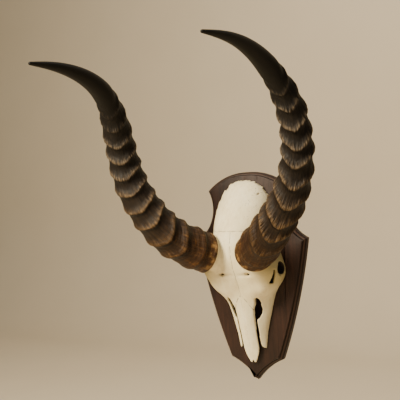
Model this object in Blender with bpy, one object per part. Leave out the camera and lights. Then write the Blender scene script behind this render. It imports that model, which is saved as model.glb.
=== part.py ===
"""Antelope skull trophy: a sawn skull with two ringed horns on a wooden shield that hangs on a wall.

Units are metres. +Z is up, the wall lies at y = 0 and the trophy looks towards -Y.
The origin is on the shield's back face, at half the shield's height.
Heights in the tables below are measured from the shield's bottom point, as on the real thing.
"""

import math

import bmesh
import bpy
import numpy as np
from mathutils import Matrix, Vector

# Driving sizes of the shield
SHIELD_HEIGHT = 0.400
SHIELD_THICKNESS = 0.020
MOULDING_WIDTH = 0.0078
ARC_STEPS = 8
SHARPEST_MITRE = 0.35
# Half outline of the shield, clockwise from the top: (x, height), a corner, then a point its arc passes
SHIELD_TOP = (0.000, 0.400)
SHIELD_TOP_VIA = (0.047, 0.392)
SHIELD_EAR = (0.0855, 0.3675)
SHIELD_NECK_VIA = (0.0795, 0.319)
SHIELD_SHOULDER = (0.1165, 0.2715)
SHIELD_SIDE_VIA = (0.0940, 0.165)
SHIELD_HEEL = (0.0542, 0.0420)
SHIELD_TOE_VIA = (0.0300, 0.0285)
SHIELD_POINT = (0.000, 0.000)
# Edge moulding, from the back: (inset from the outline, depth in front of the wall)
MOULDING = (
    (0.0000, 0.0000),
    (0.0000, 0.0104),
    (0.0014, 0.0118),
    (0.0020, 0.0134),
    (0.0038, 0.0153),
    (0.0056, 0.0157),
    (0.0062, 0.0190),
    (MOULDING_WIDTH, SHIELD_THICKNESS),
)

# Fit between pieces that touch, and how far a cutter reaches past the face that it opens
GAP = 0.0003
CUTTER_OVERSHOOT = 0.004

# Skull sections, from the nose up: height, half width, crown over the cut, fullness of the shoulders
SKULL_SECTIONS = (
    (0.030, 0.0220, 0.0050, -0.05),
    (0.045, 0.0240, 0.0095, -0.05),
    (0.070, 0.0280, 0.0170, -0.05),
    (0.100, 0.0330, 0.0270, -0.07),
    (0.125, 0.0395, 0.0340, -0.09),
    (0.150, 0.0463, 0.0405, -0.04),
    (0.165, 0.0508, 0.0440, 0.11),
    (0.180, 0.0580, 0.0485, 0.27),
    (0.195, 0.0690, 0.0550, 0.24),
    (0.212, 0.0745, 0.0640, 0.25),
    (0.230, 0.0718, 0.0715, 0.20),
    (0.250, 0.0655, 0.0760, 0.10),
    (0.270, 0.0620, 0.0765, 0.05),
    (0.290, 0.0625, 0.0720, 0.00),
    (0.312, 0.0608, 0.0635, 0.00),
    (0.335, 0.0552, 0.0510, 0.00),
    (0.355, 0.0478, 0.0385, 0.00),
    (0.371, 0.0358, 0.0250, 0.00),
    (0.381, 0.0200, 0.0120, 0.00),
    (0.384, 0.0100, 0.0040, 0.00),
)
SKULL_CUT = SHIELD_THICKNESS + GAP
SKULL_POINTS_ROUND = 25
SKULL_RISE = 0.0105
SKULL_CROWDING = 1.4

# Nasal cavity, open at the nose and at the cut
CAVITY_LOW = 0.020
CAVITY_TOP = 0.166
CAVITY_HALF_WIDTH = 0.0285
NOSE_WALL = 0.0042
LOWEST_CAVITY = 0.002

# Right half of the gaps beside and under the nose's tip, from the middle out and back in: (x, height)
NOSE_GAP = (
    (0.0000, 0.0430),
    (0.0026, 0.0370),
    (0.0050, 0.0370),
    (0.0122, 0.0520),
    (0.0157, 0.0680),
    (0.0160, 0.0800),
    (0.0162, 0.1000),
    (0.0166, 0.1240),
    (0.0212, 0.1240),
    (0.0202, 0.1000),
    (0.0199, 0.0800),
    (0.0207, 0.0690),
    (0.0238, 0.0655),
    (0.0300, 0.0640),
    (0.0700, 0.0620),
    (0.0700, 0.0100),
)
NOSE_GAP_DEPTH = (0.010, 0.110)
# Opening in the right side of the face, in front view: (x, height)
FACE_WINDOW = (
    (0.0176, 0.1215),
    (0.0215, 0.1226),
    (0.0270, 0.1288),
    (0.0309, 0.1375),
    (0.0318, 0.1455),
    (0.0326, 0.1540),
    (0.0331, 0.1625),
    (0.0312, 0.1657),
    (0.0286, 0.1666),
    (0.0247, 0.1625),
    (0.0233, 0.1552),
    (0.0204, 0.1488),
    (0.0181, 0.1410),
    (0.0173, 0.1290),
)
FACE_WINDOW_DEPTH = (0.026, 0.085)

# Eye socket: a shallow bowl, a deep oval hole in it and a slit in front of it
SOCKET_CENTRE = (0.0905, 0.0485, 0.2180)
SOCKET_RADII = (0.0190, 0.0190, 0.0190)
EYE_HOLE_CENTRE = (0.0790, 0.0412, 0.2202)
EYE_HOLE_RADII = (0.0330, 0.0140, 0.0110)
SLIT_TOP = (0.0725, 0.0672, 0.2205)
SLIT_BOTTOM = (0.0645, 0.0645, 0.1940)
SLIT_WIDTHS = (0.0030, 0.0088)
SLIT_REACH = 0.020
BROW_PIT_CENTRE = (0.0262, 0.0866, 0.2124)
BROW_PIT_RADII = (0.0060, 0.0080, 0.0032)
PIT_SEGMENTS = 14
PIT_RINGS = 8

# Horn centre line, base to tip: (out to the side, out from the wall, height)
HORN_LINE = (
    (0.0515, 0.0915, 0.2560),
    (0.1048, 0.1383, 0.2965),
    (0.1590, 0.1612, 0.3790),
    (0.1720, 0.1818, 0.4775),
    (0.1598, 0.2377, 0.5510),
    (0.1552, 0.3328, 0.5794),
    (0.1505, 0.4281, 0.5780),
)
# Share of the horn's length, radius
HORN_RADII = (
    (0.00, 0.0362),
    (0.06, 0.0378),
    (0.25, 0.0328),
    (0.54, 0.0252),
    (0.64, 0.0187),
    (0.82, 0.0104),
    (1.00, 0.0024),
)
# The two horns differ a little in girth. The foot is fuller towards a turn from the front, in degrees
HORN_GIRTH = {"left": 1.065, "right": 0.985}
FOOT_SHIFT = {"left": 0.0024, "right": 0.0050}
FOOT_SHIFT_TURN = {"left": 60, "right": -8}
FOOT_SHIFT_FADE = (0.04, 0.24)
HORN_POINTS_ROUND = 20
LINE_STEPS = 240
FRAME_STEPS = 400
RING_DEPTH = 0.0048
RING_FADE_RADIUS = 0.020
RING_EVENNESS = 0.15
# Share of the horn's length at the lowest point of each ring's crest
RINGS = {
    "left": (0.036, 0.080, 0.125, 0.182, 0.237, 0.298, 0.355, 0.410, 0.467, 0.529, 0.583),
    "right": (0.044, 0.096, 0.148, 0.194, 0.249, 0.303, 0.360, 0.410, 0.466, 0.527, 0.583),
}
# Each ring is lowest at this turn from the front, in degrees, and rises to both sides
RING_TURN = {"left": -8, "right": 34}
RING_RISE = 0.0413
RING_BLUNTNESS = 0.26
RING_RISE_FROM = (0.0, 0.10)
RING_RISE_TO = (0.56, 0.80)
# Towards the next ring: share of the way, share of the full depth
RING_PROFILE = ((0.0, 0.0), (0.34, 0.76), (0.82, 0.95))
FAINTEST_RING = 0.55
TIP_START_DROP = 0.35
# The foot is flat and leans forwards: the front is lower by this share of its radius
BASE_SLANT = 0.27
FOOT_STATION = 0.006
FOOT_ROUNDING = 0.5
SMOOTH_START = 0.030
HORN_END = 0.997
TIP_STATIONS = 12
PEDICLE_RADIUS = 0.0315
PEDICLE_ROOT_RADIUS = 0.0300
PEDICLE_REACH = (-0.042, 0.026)
HORN_SEAT_RADIUS = 0.0500
HORN_SEAT_DEPTH = 0.060
BAR_SIDES = 28

# Keyhole hanger let into the shield's back
HANGER_HEIGHT = 0.352
HANGER_SIZE = (0.016, 0.044)
HANGER_THICKNESS = 0.0016
KEYHOLE_HEAD_RADIUS = 0.0048
KEYHOLE_HEAD_DROP = 0.0055
KEYHOLE_SLOT_WIDTH = 0.0050
KEYHOLE_SLOT_RISE = 0.0065
KEYHOLE_STEPS = 14
SLOT_END_STEPS = 6
PLATE_END_STEPS = 8
POCKET_SIZE = (0.0120, 0.0230)
POCKET_DEPTH = 0.0105
HANGER_SCREW_OFFSET = 0.0175
HANGER_SCREW = {"head": 0.0029, "shank": 0.0013, "length": 0.0115}

# Screws that hold the skull, driven from the back
SKULL_SCREW_HEIGHTS = {"lower": 0.258, "upper": 0.312}
SKULL_SCREW = {"head": 0.0045, "shank": 0.0022, "length": 0.0480}
SCREW_SIDES = 12
SCREW_SINK = 0.0006
HEAD_RIM = 0.0002
SCREW_POINT = 0.25
# Turned off the axes, so that no corner of a hole lies on an edge of the board
SCREW_TURN = 0.37

COLOURS = {
    "wood": ((0.060, 0.030, 0.021), 0.45, 0.0),
    "bone": ((0.760, 0.690, 0.530), 0.60, 0.0),
    "horn": ((0.045, 0.028, 0.018), 0.45, 0.0),
    "brass": ((0.620, 0.460, 0.210), 0.35, 1.0),
    "steel": ((0.480, 0.480, 0.470), 0.40, 1.0),
}


def place(x, out, height):
    """A point from its distance in front of the wall and its height over the shield's bottom point."""
    return Vector((x, -out, height - SHIELD_HEIGHT / 2))


def clear_scene():
    for obj in list(bpy.data.objects):
        bpy.data.objects.remove(obj)


def material(name):
    found = bpy.data.materials.get(name)
    if found:
        return found
    colour, roughness, metallic = COLOURS[name]
    made = bpy.data.materials.new(name)
    made.use_nodes = True
    shader = made.node_tree.nodes["Principled BSDF"]
    shader.inputs["Base Color"].default_value = (*colour, 1.0)
    shader.inputs["Roughness"].default_value = roughness
    shader.inputs["Metallic"].default_value = metallic
    return made


def add_object(name, bm, material_name=None, smooth_angle=None):
    """A new object from a bmesh, faces turned outwards. Without a material it is a hidden cutter."""
    bmesh.ops.recalc_face_normals(bm, faces=bm.faces)
    mesh = bpy.data.meshes.new(name)
    bm.to_mesh(mesh)
    bm.free()
    obj = bpy.data.objects.new(name, mesh)
    bpy.context.scene.collection.objects.link(obj)
    if material_name is None:
        obj.hide_render = True
        obj.display_type = "WIRE"
        return obj
    mesh.materials.append(material(material_name))
    if smooth_angle is not None:
        mesh.shade_smooth()
        mesh.set_sharp_from_angle(angle=math.radians(smooth_angle))
    return obj


def boolean(obj, other, operation):
    modifier = obj.modifiers.new(f"{operation.lower()} {other.name}", "BOOLEAN")
    modifier.operation = operation
    modifier.solver = "EXACT"
    modifier.object = other


def bridge(bm, rings):
    """Quads between rings of the same number of vertices, with a face on each end."""
    loops = [[bm.verts.new(point) for point in ring] for ring in rings]
    for lower, upper in zip(loops, loops[1:]):
        for i, vert in enumerate(lower):
            j = (i + 1) % len(lower)
            bm.faces.new((vert, lower[j], upper[j], upper[i]))
    bm.faces.new(loops[0])
    bm.faces.new(loops[-1])


def prism(outline, start, end):
    """A front-view outline of (x, height) points, extruded between two distances in front of the wall."""
    bm = bmesh.new()
    bridge(bm, [[place(x, out, height) for x, height in outline] for out in (start, end)])
    bmesh.ops.triangulate(bm, faces=[f for f in bm.faces if len(f.verts) > 4])
    return bm


def mirrored(outline):
    return [(-x, height) for x, height in reversed(outline)]


def arc_through(start, via, end, steps=ARC_STEPS):
    """Points on the circle through three points, without the last one."""
    (ax, ay), (bx, by), (cx, cy) = start, via, end
    d = 2 * (ax * (by - cy) + bx * (cy - ay) + cx * (ay - by))
    squares = (ax * ax + ay * ay, bx * bx + by * by, cx * cx + cy * cy)
    ux = (squares[0] * (by - cy) + squares[1] * (cy - ay) + squares[2] * (ay - by)) / d
    uy = (squares[0] * (cx - bx) + squares[1] * (ax - cx) + squares[2] * (bx - ax)) / d
    radius = math.hypot(ax - ux, ay - uy)
    first = math.atan2(ay - uy, ax - ux)
    sweep = math.atan2(cy - uy, cx - ux) - first
    sweep = (sweep + math.pi) % (2 * math.pi) - math.pi
    angles = (first + sweep * i / steps for i in range(steps))
    return [(ux + radius * math.cos(a), uy + radius * math.sin(a)) for a in angles]


def shield_outline():
    """The shield's whole outline, clockwise seen from the front, starting at the top."""
    half = (
        arc_through(SHIELD_TOP, SHIELD_TOP_VIA, SHIELD_EAR)
        + arc_through(SHIELD_EAR, SHIELD_NECK_VIA, SHIELD_SHOULDER)
        + arc_through(SHIELD_SHOULDER, SHIELD_SIDE_VIA, SHIELD_HEEL)
        + arc_through(SHIELD_HEEL, SHIELD_TOE_VIA, SHIELD_POINT)
    )
    return half + [SHIELD_POINT] + mirrored(half[1:])


def inset(outline, distance):
    """The outline moved inwards by a distance, its corners mitred. A sharp one isn't drawn out far."""
    points = [Vector(p) for p in outline]
    moved = []
    for i, point in enumerate(points):
        before = (point - points[i - 1]).normalized()
        after = (points[(i + 1) % len(points)] - point).normalized()
        normals = [Vector((d.y, -d.x)) for d in (before, after)]
        mitre = normals[0] + normals[1]
        moved.append(point + mitre * (distance / max(1 + normals[0].dot(normals[1]), SHARPEST_MITRE)))
    return moved


def make_shield():
    outline = shield_outline()
    bm = bmesh.new()
    bridge(bm, [[place(p[0], out, p[1]) for p in inset(outline, step)] for step, out in MOULDING])
    bmesh.ops.triangulate(bm, faces=[f for f in bm.faces if len(f.verts) > 4])
    shield = add_object("shield", bm, "wood", smooth_angle=32)
    boolean(shield, hanger_recess(), "DIFFERENCE")
    boolean(shield, hanger_pocket(), "DIFFERENCE")
    return shield


def section(half_width, crown, fullness):
    """A rounded skull section over the cut, from left to right: (x, distance in front of the wall)."""
    points = []
    for i in range(SKULL_POINTS_ROUND):
        turn = math.pi * i / (SKULL_POINTS_ROUND - 1)
        reach = 1 + fullness * math.sin(2 * turn) ** 2
        x = -half_width * math.cos(turn) * reach
        points.append((x, SKULL_CUT + crown * math.sin(turn) * reach))
    return points


def spline(knots, values, at):
    """A natural cubic spline through the values at the knots."""
    knots, values = np.asarray(knots, float), np.asarray(values, float)
    h = np.diff(knots)
    slopes = np.diff(values, axis=0) / h[:, None]
    n = len(knots)
    system = np.eye(n)
    right = np.zeros_like(values)
    for i in range(1, n - 1):
        system[i, i - 1 : i + 2] = h[i - 1], 2 * (h[i - 1] + h[i]), h[i]
        right[i] = 6 * (slopes[i] - slopes[i - 1])
    bend = np.linalg.solve(system, right)
    i = np.clip(np.searchsorted(knots, at, side="right") - 1, 0, n - 2)
    a = (knots[i + 1] - at) / h[i]
    b = 1 - a
    return (
        a * values[i]
        + b * values[i + 1]
        + ((a**3 - a) * bend[i] + (b**3 - b) * bend[i + 1]) * h[i] ** 2 / 6
    )


def skull_rings(low, high, shape):
    """Closed sections between two heights. shape turns a section's sizes into the ones that are wanted."""
    table = np.array(SKULL_SECTIONS)
    rings = []
    steps = max(2, round((high - low) / SKULL_RISE))
    for i in range(steps + 1):
        height = high - (high - low) * (1 - i / steps) ** SKULL_CROWDING
        sizes = shape(height, *spline(table[:, 0], table[:, 1:], height))
        rings.append([place(x, out, height) for x, out in section(*sizes)])
    return rings


def skull_shell():
    bm = bmesh.new()
    lowest, highest = SKULL_SECTIONS[0][0], SKULL_SECTIONS[-1][0]
    bridge(bm, skull_rings(lowest, highest, lambda height, *sizes: sizes))
    return bm


def nose_cavity():
    def hollow(height, half_width, crown, fullness):
        width = min(half_width - NOSE_WALL, CAVITY_HALF_WIDTH)
        return width, max(crown - NOSE_WALL, LOWEST_CAVITY), fullness

    bm = bmesh.new()
    rings = skull_rings(CAVITY_LOW, CAVITY_TOP, hollow)
    back = place(0, SKULL_CUT - CUTTER_OVERSHOOT, 0).y
    for ring in rings:
        ring.append(Vector((ring[-1].x, back, ring[-1].z)))
        ring.append(Vector((ring[0].x, back, ring[0].z)))
    bridge(bm, rings)
    return add_object("cut_nose_cavity", bm)


def ellipsoid(name, centre, radii, sign):
    bm = bmesh.new()
    bmesh.ops.create_uvsphere(bm, u_segments=PIT_SEGMENTS, v_segments=PIT_RINGS, radius=1.0)
    bmesh.ops.scale(bm, vec=radii, verts=bm.verts)
    x, out, height = centre
    bmesh.ops.translate(bm, vec=place(sign * x, out, height), verts=bm.verts)
    return add_object(name, bm)


def socket_slit(name, sign):
    """A wedge, narrow at its upper end, that runs inwards and back beside the socket's rim."""
    inwards = Vector((-sign * 0.80, 0.60, 0.0))
    across = Vector((sign * 0.60, 0.80, 0.0))
    rings = []
    for centre, width in zip((SLIT_BOTTOM, SLIT_TOP), reversed(SLIT_WIDTHS)):
        middle = place(sign * centre[0], centre[1], centre[2])
        corners = [(-1, -1), (1, -1), (1, 1), (-1, 1)]
        rings.append([middle + across * width / 2 * s + inwards * SLIT_REACH * t for s, t in corners])
    bm = bmesh.new()
    bridge(bm, rings)
    return add_object(name, bm)


def round_bar(start, end, radii, sides):
    """A closed bar between two points, with a radius at each end."""
    start, end = Vector(start), Vector(end)
    axis = (end - start).normalized()
    across = axis.orthogonal().normalized()
    other = axis.cross(across)
    turns = [2 * math.pi * i / sides for i in range(sides)]
    bm = bmesh.new()
    bridge(
        bm,
        [
            [point + (across * math.cos(t) + other * math.sin(t)) * radius for t in turns]
            for point, radius in zip((start, end), radii)
        ],
    )
    return bm


def horn_frames(count):
    """Centre, tangent and two cross directions at even steps along a horn on the right."""
    line = np.array([place(*p) for p in HORN_LINE])
    knots = range(len(line))
    fine = np.array([spline(knots, line, t) for t in np.linspace(0, len(line) - 1, LINE_STEPS + 1)])
    length = np.concatenate([[0], np.cumsum(np.linalg.norm(np.diff(fine, axis=0), axis=1))])
    places = np.linspace(0, length[-1], count)
    centres = np.column_stack([np.interp(places, length, fine[:, k]) for k in range(3)])
    tangents = np.gradient(centres, axis=0)
    frames = []
    front = Vector((0, -1, 0))
    for centre, tangent in zip(centres, tangents):
        tangent = Vector(tangent).normalized()
        front = (front - tangent * front.dot(tangent)).normalized()
        frames.append((Vector(centre), tangent, front.copy(), tangent.cross(front)))
    return frames, length[-1]


HORN_FRAMES, HORN_LENGTH = horn_frames(FRAME_STEPS + 1)


def horn_frame(share):
    """The frame at a share of the horn's length."""
    at = min(share, 1.0) * (len(HORN_FRAMES) - 1)
    low = min(max(int(at), 0), len(HORN_FRAMES) - 2)
    return [a.lerp(b, at - low) for a, b in zip(HORN_FRAMES[low], HORN_FRAMES[low + 1])]


def smoothstep(low, high, value):
    t = min(max((value - low) / (high - low), 0.0), 1.0)
    return t * t * (3 - 2 * t)


def horn_radius(share):
    shares, radii = zip(*HORN_RADII)
    return float(np.interp(share, shares, radii))


def horn_stations(side):
    """Shares of the length and ring depths: a rounded foot, saw-toothed rings, then a smooth tip."""
    crests = RINGS[side]
    pitches = [after - before for before, after in zip(crests, crests[1:])]
    stations = [(0.0, FOOT_ROUNDING), (FOOT_STATION, 0.0)]
    for crest, pitch in zip(crests, pitches + pitches[-1:]):
        strength = 1 - (1 - FAINTEST_RING) * smoothstep(crests[-4], crests[-1], crest)
        for phase, drop in RING_PROFILE:
            stations.append((crest + phase * pitch, drop * strength))
    start = stations[-1][0] + SMOOTH_START
    for i in range(TIP_STATIONS):
        t = i / (TIP_STATIONS - 1)
        stations.append((start + (HORN_END - start) * t, TIP_START_DROP * (1 - t)))
    return stations


def horn_girth(side, here, station, turn):
    """The radius at a share of the length, with the foot's fullness as at the ring's own station."""
    fading = 1 - smoothstep(*FOOT_SHIFT_FADE, station)
    shift = FOOT_SHIFT[side] * math.cos(turn - math.radians(FOOT_SHIFT_TURN[side])) * fading
    return horn_radius(here) * HORN_GIRTH[side] + shift


def ring_lift(side, share, turn):
    """How far along the horn a ring's point lies past its station. The foot's lean fades into a V."""
    amount = smoothstep(*RING_RISE_FROM, share)
    lean = -BASE_SLANT * horn_girth(side, share, share, turn) / HORN_LENGTH * math.cos(turn)
    chord = math.sqrt(2 * (1 - math.cos(turn - math.radians(RING_TURN[side]))) + RING_BLUNTNESS**2)
    rise = RING_RISE * (chord - RING_BLUNTNESS) * (1 - smoothstep(*RING_RISE_TO, share))
    return lean * (1 - amount) + rise * amount


def horn_point(side, share, turn, drop):
    """A point of a horn as if on the right. turn is 0 in front, drop is the depth under the crest."""
    ahead = math.cos(turn)
    relief = RING_DEPTH * min(1.0, horn_radius(share) / RING_FADE_RADIUS)
    evenness = 1 - RING_EVENNESS + RING_EVENNESS * math.cos(turn - math.radians(RING_TURN[side]))
    depth = drop * relief * evenness
    if share <= FOOT_STATION:
        # The foot is flat, so it leans in proportion to its own radius
        radius = horn_girth(side, share, share, turn) - depth
        centre, tangent, front, across = horn_frame(share)
        centre = centre - tangent * BASE_SLANT * radius * ahead
    else:
        here = share + ring_lift(side, share, turn)
        radius = horn_girth(side, here, share, turn) - depth
        centre, tangent, front, across = horn_frame(here)
    return centre + (front * ahead + across * math.sin(turn)) * radius


def make_horn(side):
    mirror = Matrix.Diagonal((1 if side == "right" else -1, 1, 1))
    turns = [2 * math.pi * i / HORN_POINTS_ROUND for i in range(HORN_POINTS_ROUND)]
    bm = bmesh.new()
    bridge(
        bm,
        [
            [mirror @ horn_point(side, share, turn, drop) for turn in turns]
            for share, drop in horn_stations(side)
        ],
    )
    return add_object(f"horn_{side}", bm, "horn", smooth_angle=50)


def make_skull():
    skull = add_object("skull", skull_shell(), "bone", smooth_angle=48)
    base, direction, front = HORN_FRAMES[0][:3]
    facing = (direction + front * BASE_SLANT).normalized()
    for side, sign in (("left", -1), ("right", 1)):
        mirror = Matrix.Diagonal((sign, 1, 1))
        ends = [mirror @ (base + direction * far) for far in PEDICLE_REACH]
        pedicle = round_bar(*ends, (PEDICLE_ROOT_RADIUS, PEDICLE_RADIUS), BAR_SIDES)
        boolean(skull, add_object(f"join_pedicle_{side}", pedicle), "UNION")
        seat = mirror @ (base - facing * GAP)
        above = mirror @ (base + facing * HORN_SEAT_DEPTH)
        trim = round_bar(seat, above, (HORN_SEAT_RADIUS, HORN_SEAT_RADIUS), BAR_SIDES)
        boolean(skull, add_object(f"cut_horn_seat_{side}", trim), "DIFFERENCE")
        window = prism([(sign * x, height) for x, height in FACE_WINDOW], *FACE_WINDOW_DEPTH)
        boolean(skull, add_object(f"cut_face_window_{side}", window), "DIFFERENCE")
        for name, centre, radii in (
            ("socket", SOCKET_CENTRE, SOCKET_RADII),
            ("eye_hole", EYE_HOLE_CENTRE, EYE_HOLE_RADII),
            ("brow_pit", BROW_PIT_CENTRE, BROW_PIT_RADII),
        ):
            boolean(skull, ellipsoid(f"cut_{name}_{side}", centre, radii, sign), "DIFFERENCE")
        boolean(skull, socket_slit(f"cut_slit_{side}", sign), "DIFFERENCE")
    nose_gap = prism(list(NOSE_GAP) + mirrored(NOSE_GAP[1:]), *NOSE_GAP_DEPTH)
    boolean(skull, add_object("cut_nose_gap", nose_gap), "DIFFERENCE")
    boolean(skull, nose_cavity(), "DIFFERENCE")
    return skull


def hanger_recess():
    """A shallow bed for the plate in the shield's back."""
    half, tall = HANGER_SIZE[0] / 2 + GAP, HANGER_SIZE[1] / 2 + GAP
    return box_cutter("cut_hanger_recess", half, tall, HANGER_THICKNESS + GAP)


def hanger_pocket():
    """The deeper room behind the keyhole for the head of the wall screw."""
    return box_cutter("cut_hanger_pocket", POCKET_SIZE[0] / 2, POCKET_SIZE[1] / 2, POCKET_DEPTH)


def box_cutter(name, half, tall, depth):
    corners = [
        (half, HANGER_HEIGHT - tall),
        (half, HANGER_HEIGHT + tall),
        (-half, HANGER_HEIGHT + tall),
        (-half, HANGER_HEIGHT - tall),
    ]
    return add_object(name, prism(corners, -CUTTER_OVERSHOOT, depth))


def keyhole_outline():
    """A round hole for the screw's head, with a slot above it for its neck."""
    centre = HANGER_HEIGHT - KEYHOLE_HEAD_DROP
    half = KEYHOLE_SLOT_WIDTH / 2
    top = HANGER_HEIGHT + KEYHOLE_SLOT_RISE
    opening = math.asin(half / KEYHOLE_HEAD_RADIUS)
    points = []
    for i in range(KEYHOLE_STEPS + 1):
        turn = opening + (2 * math.pi - 2 * opening) * i / KEYHOLE_STEPS
        x = KEYHOLE_HEAD_RADIUS * math.sin(turn)
        points.append((x, centre + KEYHOLE_HEAD_RADIUS * math.cos(turn)))
    for i in range(SLOT_END_STEPS + 1):
        turn = math.pi * i / SLOT_END_STEPS
        points.append((-half * math.cos(turn), top + half * math.sin(turn)))
    return points


def make_hanger():
    """A plate with round ends and a keyhole."""
    half, tall = HANGER_SIZE[0] / 2, HANGER_SIZE[1] / 2
    outline = []
    for end, first in ((1, 0.0), (-1, math.pi)):
        for i in range(PLATE_END_STEPS + 1):
            turn = first + math.pi * i / PLATE_END_STEPS
            height = HANGER_HEIGHT + end * (tall - half) + half * math.sin(turn)
            outline.append((half * math.cos(turn), height))
    plate = add_object("hanger_plate", prism(outline, 0.0, HANGER_THICKNESS), "brass", 30)
    keyhole = add_object("cut_keyhole", prism(keyhole_outline(), -CUTTER_OVERSHOOT, CUTTER_OVERSHOOT))
    boolean(plate, keyhole, "DIFFERENCE")
    return plate


def screw_profile(size, grow=0.0):
    """Radius and depth in front of the wall along a countersunk screw, from its head to its tip."""
    head, shank, length = size["head"], size["shank"], size["length"]
    below_rim = SCREW_SINK + HEAD_RIM
    return (
        (head + grow, SCREW_SINK - (CUTTER_OVERSHOOT if grow else 0.0)),
        (head + grow, below_rim),
        (shank + grow, below_rim + head - shank),
        (shank + grow, length - 2 * shank + grow),
        (shank * SCREW_POINT + grow, length + grow),
    )


def turned(profile, x, height):
    """A closed body turned about an axis that runs straight out from the wall."""
    turns = [2 * math.pi * (i + SCREW_TURN) / SCREW_SIDES for i in range(SCREW_SIDES)]
    bm = bmesh.new()
    bridge(
        bm,
        [
            [place(x + r * math.cos(t), out, height + r * math.sin(t)) for t in turns]
            for r, out in profile
        ],
    )
    return bm


def make_screws(shield, plate, skull):
    """Each screw is a node, and its own enlarged shape clears a hole for it."""
    for name, height in SKULL_SCREW_HEIGHTS.items():
        add_object(f"skull_screw_{name}", turned(screw_profile(SKULL_SCREW), 0, height), "steel", 40)
        hole = turned(screw_profile(SKULL_SCREW, GAP), 0, height)
        cutter = add_object(f"cut_skull_screw_{name}", hole)
        boolean(shield, cutter, "DIFFERENCE")
        boolean(skull, cutter, "DIFFERENCE")
    for name, sign in (("lower", -1), ("upper", 1)):
        height = HANGER_HEIGHT + sign * HANGER_SCREW_OFFSET
        add_object(f"hanger_screw_{name}", turned(screw_profile(HANGER_SCREW), 0, height), "brass", 40)
        hole = turned(screw_profile(HANGER_SCREW, GAP), 0, height)
        cutter = add_object(f"cut_hanger_screw_{name}", hole)
        boolean(shield, cutter, "DIFFERENCE")
        boolean(plate, cutter, "DIFFERENCE")


def main():
    clear_scene()
    shield = make_shield()
    skull = make_skull()
    make_horn("left")
    make_horn("right")
    plate = make_hanger()
    make_screws(shield, plate, skull)


main()
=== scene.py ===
# %% [markdown]
# # A sawn antelope skull with ringed horns on a wooden shield
#
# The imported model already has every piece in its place: a shield-shaped board, a sawn skull, two horns
# and the fittings in the board's back. This script keeps those places and gives the trophy its looks.
# It cuts a finer board, carves a finer skull, grows finer horns with Geometry Nodes, and builds a
# material for each of them from noise and simple sums. No picture is used anywhere.

import math

import bmesh
import bpy
import numpy as np
from mathutils import Matrix, Vector, noise


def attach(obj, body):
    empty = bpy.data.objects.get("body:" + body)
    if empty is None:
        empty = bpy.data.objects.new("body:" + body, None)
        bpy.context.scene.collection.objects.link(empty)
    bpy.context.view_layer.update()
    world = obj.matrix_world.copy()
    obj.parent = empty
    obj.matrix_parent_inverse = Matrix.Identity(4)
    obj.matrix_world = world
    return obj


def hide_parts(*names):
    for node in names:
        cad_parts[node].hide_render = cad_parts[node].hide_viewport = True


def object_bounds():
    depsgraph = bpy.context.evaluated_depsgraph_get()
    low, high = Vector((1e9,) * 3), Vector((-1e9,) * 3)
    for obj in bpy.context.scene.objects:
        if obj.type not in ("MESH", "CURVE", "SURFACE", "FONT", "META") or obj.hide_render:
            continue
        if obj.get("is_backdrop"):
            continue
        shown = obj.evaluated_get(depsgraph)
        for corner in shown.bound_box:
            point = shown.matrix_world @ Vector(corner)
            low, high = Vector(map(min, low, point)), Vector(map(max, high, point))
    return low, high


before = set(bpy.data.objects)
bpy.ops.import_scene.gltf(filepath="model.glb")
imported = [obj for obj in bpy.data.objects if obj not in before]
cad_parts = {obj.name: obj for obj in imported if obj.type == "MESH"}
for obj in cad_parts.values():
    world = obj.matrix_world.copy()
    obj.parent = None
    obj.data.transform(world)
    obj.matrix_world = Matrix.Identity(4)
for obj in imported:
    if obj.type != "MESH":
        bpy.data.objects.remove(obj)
CAD_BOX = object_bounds()
print("nodes:", ", ".join(sorted(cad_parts)))

# %% [markdown]
# ## Where things are
#
# The board's back lies on the wall at y = 0 and the trophy looks towards -Y. It is handy to write a
# place as it would be measured on the real thing: out to the side, out from the wall, and up from the
# board's bottom point. One small function turns those three numbers into the model's own axes, and a
# second does it for a whole table of points.

# %% Places
SHIELD_HEIGHT = 0.400


def place(x, out, height):
    """A point from its distance in front of the wall and its height over the board's bottom point."""
    return Vector((x, -out, height - SHIELD_HEIGHT / 2))


def places(points):
    """The same for an array of points."""
    x, out, height = np.asarray(points, float).T
    return np.column_stack([x, -out, height - SHIELD_HEIGHT / 2])


# %% [markdown]
# ## Camera
#
# The photograph was taken from a little to the right of the trophy, almost level with it, with the
# picture tilted slightly. The camera's direction comes from an azimuth, an elevation and a roll, so each
# can be changed alone. The lens is in millimetres, for a sensor that is 36 mm wide.

# %% Camera
CAMERA_AZIMUTH = math.radians(29.9)
CAMERA_ELEVATION = math.radians(0.8)
CAMERA_ROLL = math.radians(-3.4)
CAMERA_PLACE = Vector((0.6022, -1.2428, 0.1711))
CAMERA_LENS = 64.08
SENSOR_WIDTH = 36


def make_camera():
    data = bpy.data.cameras.new("camera")
    data.lens = CAMERA_LENS
    data.sensor_width = SENSOR_WIDTH
    camera = bpy.data.objects.new("camera", data)
    bpy.context.scene.collection.objects.link(camera)
    around = Matrix.Rotation(CAMERA_AZIMUTH, 4, "Z")
    tipped = Matrix.Rotation(math.pi / 2 - CAMERA_ELEVATION, 4, "X")
    rolled = Matrix.Rotation(CAMERA_ROLL, 4, "Z")
    camera.matrix_world = Matrix.Translation(CAMERA_PLACE) @ around @ tipped @ rolled
    bpy.context.scene.camera = camera
    return camera


camera = make_camera()
print("camera looks from", tuple(round(v, 3) for v in camera.matrix_world.translation))

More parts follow.
